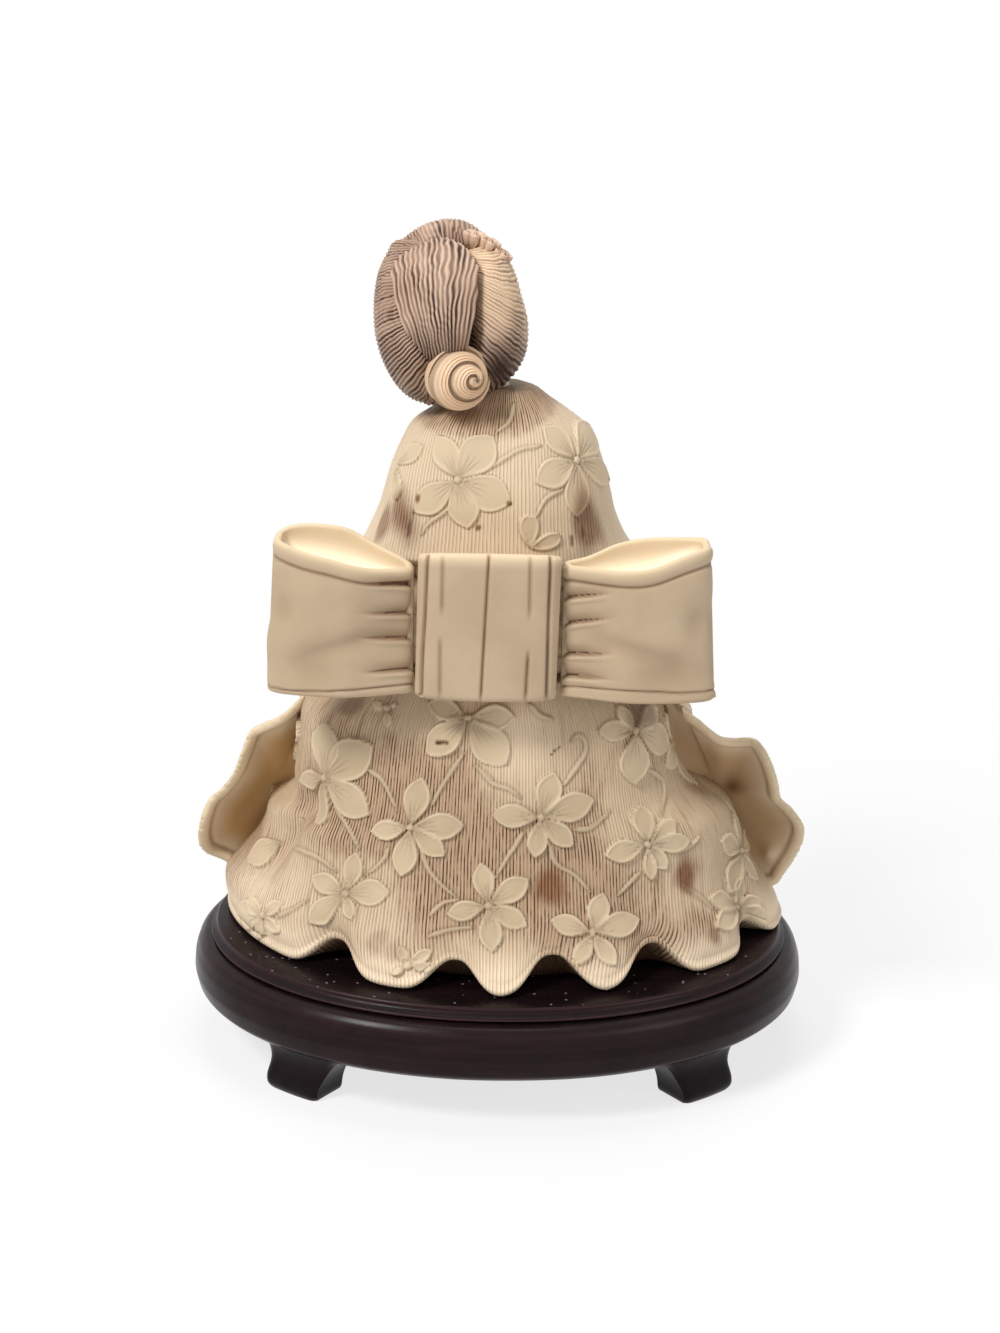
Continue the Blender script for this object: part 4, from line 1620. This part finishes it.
hand("hand_under", 1, -1.6, "hand_right")
hand("hand_over", -1, 2.2, "hand_left")


# Studio: pale floor, soft lamps and the camera
def floor():
    size = 40
    mesh = bpy.data.meshes.new("floor")
    mesh.from_pydata([(-size, -size, 0), (size, -size, 0), (size, size, 0), (-size, size, 0)], [], [(0, 1, 2, 3)])
    piece = bpy.data.objects.new("floor", mesh)
    bpy.context.scene.collection.objects.link(piece)
    material = bpy.data.materials.new("floor")
    material.use_nodes = True
    w = Wiring(material.node_tree)
    nodes = material.node_tree.nodes
    nodes.remove(nodes["Principled BSDF"])
    diffuse = w.node("ShaderNodeBsdfDiffuse", {"Color": (0.9, 0.9, 0.9, 1)})
    white = w.node("ShaderNodeEmission", {"Color": (1, 1, 1, 1), "Strength": 1.0})
    path = w.node("ShaderNodeLightPath")
    distance = w.node("ShaderNodeVectorMath", {0: w.place()}, operation="LENGTH").outputs["Value"]
    white_share = w.mask(distance, 0.1, 0.4, 0.75, 1.0)
    seen_ray = w.math("MAXIMUM", path.outputs["Is Camera Ray"], path.outputs["Is Glossy Ray"])
    share = w.math("MULTIPLY", w.math("MAXIMUM", seen_ray, path.outputs["Is Transmission Ray"]), white_share)
    mixed = w.node("ShaderNodeMixShader", {0: share, 1: diffuse.outputs[0], 2: white.outputs[0]})
    w.link(mixed.outputs[0], nodes["Material Output"].inputs["Surface"])
    mesh.materials.append(material)


def lamp(name, place, aim, size, power):
    data = bpy.data.lights.new(name, "AREA")
    data.shape = "DISK"
    data.size = size
    data.energy = power
    piece = bpy.data.objects.new(name, data)
    bpy.context.scene.collection.objects.link(piece)
    back = np.asarray(place, float) - np.asarray(aim, float)
    back /= np.linalg.norm(back)
    right = np.cross([0, 0, 1], back)
    right /= np.linalg.norm(right)
    up = np.cross(back, right)
    matrix = np.eye(4)
    matrix[:3, 0], matrix[:3, 1], matrix[:3, 2], matrix[:3, 3] = right, up, back, place
    piece.matrix_world = Matrix(matrix.tolist())


def studio():
    floor()
    middle = (0, 0, 0.1)
    lamp("key", (-0.75, -0.7, 1.15), middle, 0.4, 17)
    lamp("fill", (0.95, -0.8, 0.7), middle, 0.8, 4)
    lamp("top", (0.0, 0.3, 1.3), middle, 0.8, 7)
    world = bpy.data.worlds.new("studio")
    bpy.context.scene.world = world
    world.use_nodes = True
    w = Wiring(world.node_tree)
    background = world.node_tree.nodes["Background"]
    path = w.node("ShaderNodeLightPath")
    seen_ray = w.math("MAXIMUM", path.outputs["Is Camera Ray"], path.outputs["Is Glossy Ray"])
    share = w.math("MAXIMUM", seen_ray, path.outputs["Is Transmission Ray"])
    w.link(w.math("MULTIPLY_ADD", share, 0.78, 0.22), background.inputs["Strength"])
    background.inputs["Color"].default_value = (1, 1, 1, 1)


def camera():
    data = bpy.data.cameras.new("camera")
    data.sensor_width = 36
    data.sensor_fit = "AUTO"
    data.lens = 36 * FOCAL_PIXELS / PHOTO_HEIGHT
    data.clip_start = 0.01
    data.clip_end = 100
    piece = bpy.data.objects.new("camera", data)
    bpy.context.scene.collection.objects.link(piece)
    matrix = np.eye(4)
    matrix[:3, 0], matrix[:3, 1], matrix[:3, 2] = VIEW_RIGHT, VIEW_UP, VIEW_BACK
    matrix[:3, 3] = VIEW_PLACE * MM
    piece.matrix_world = FIGURE_PLACE @ Matrix(matrix.tolist())
    bpy.context.scene.camera = piece


studio()
camera()
bpy.context.scene.view_settings.view_transform = "Standard"
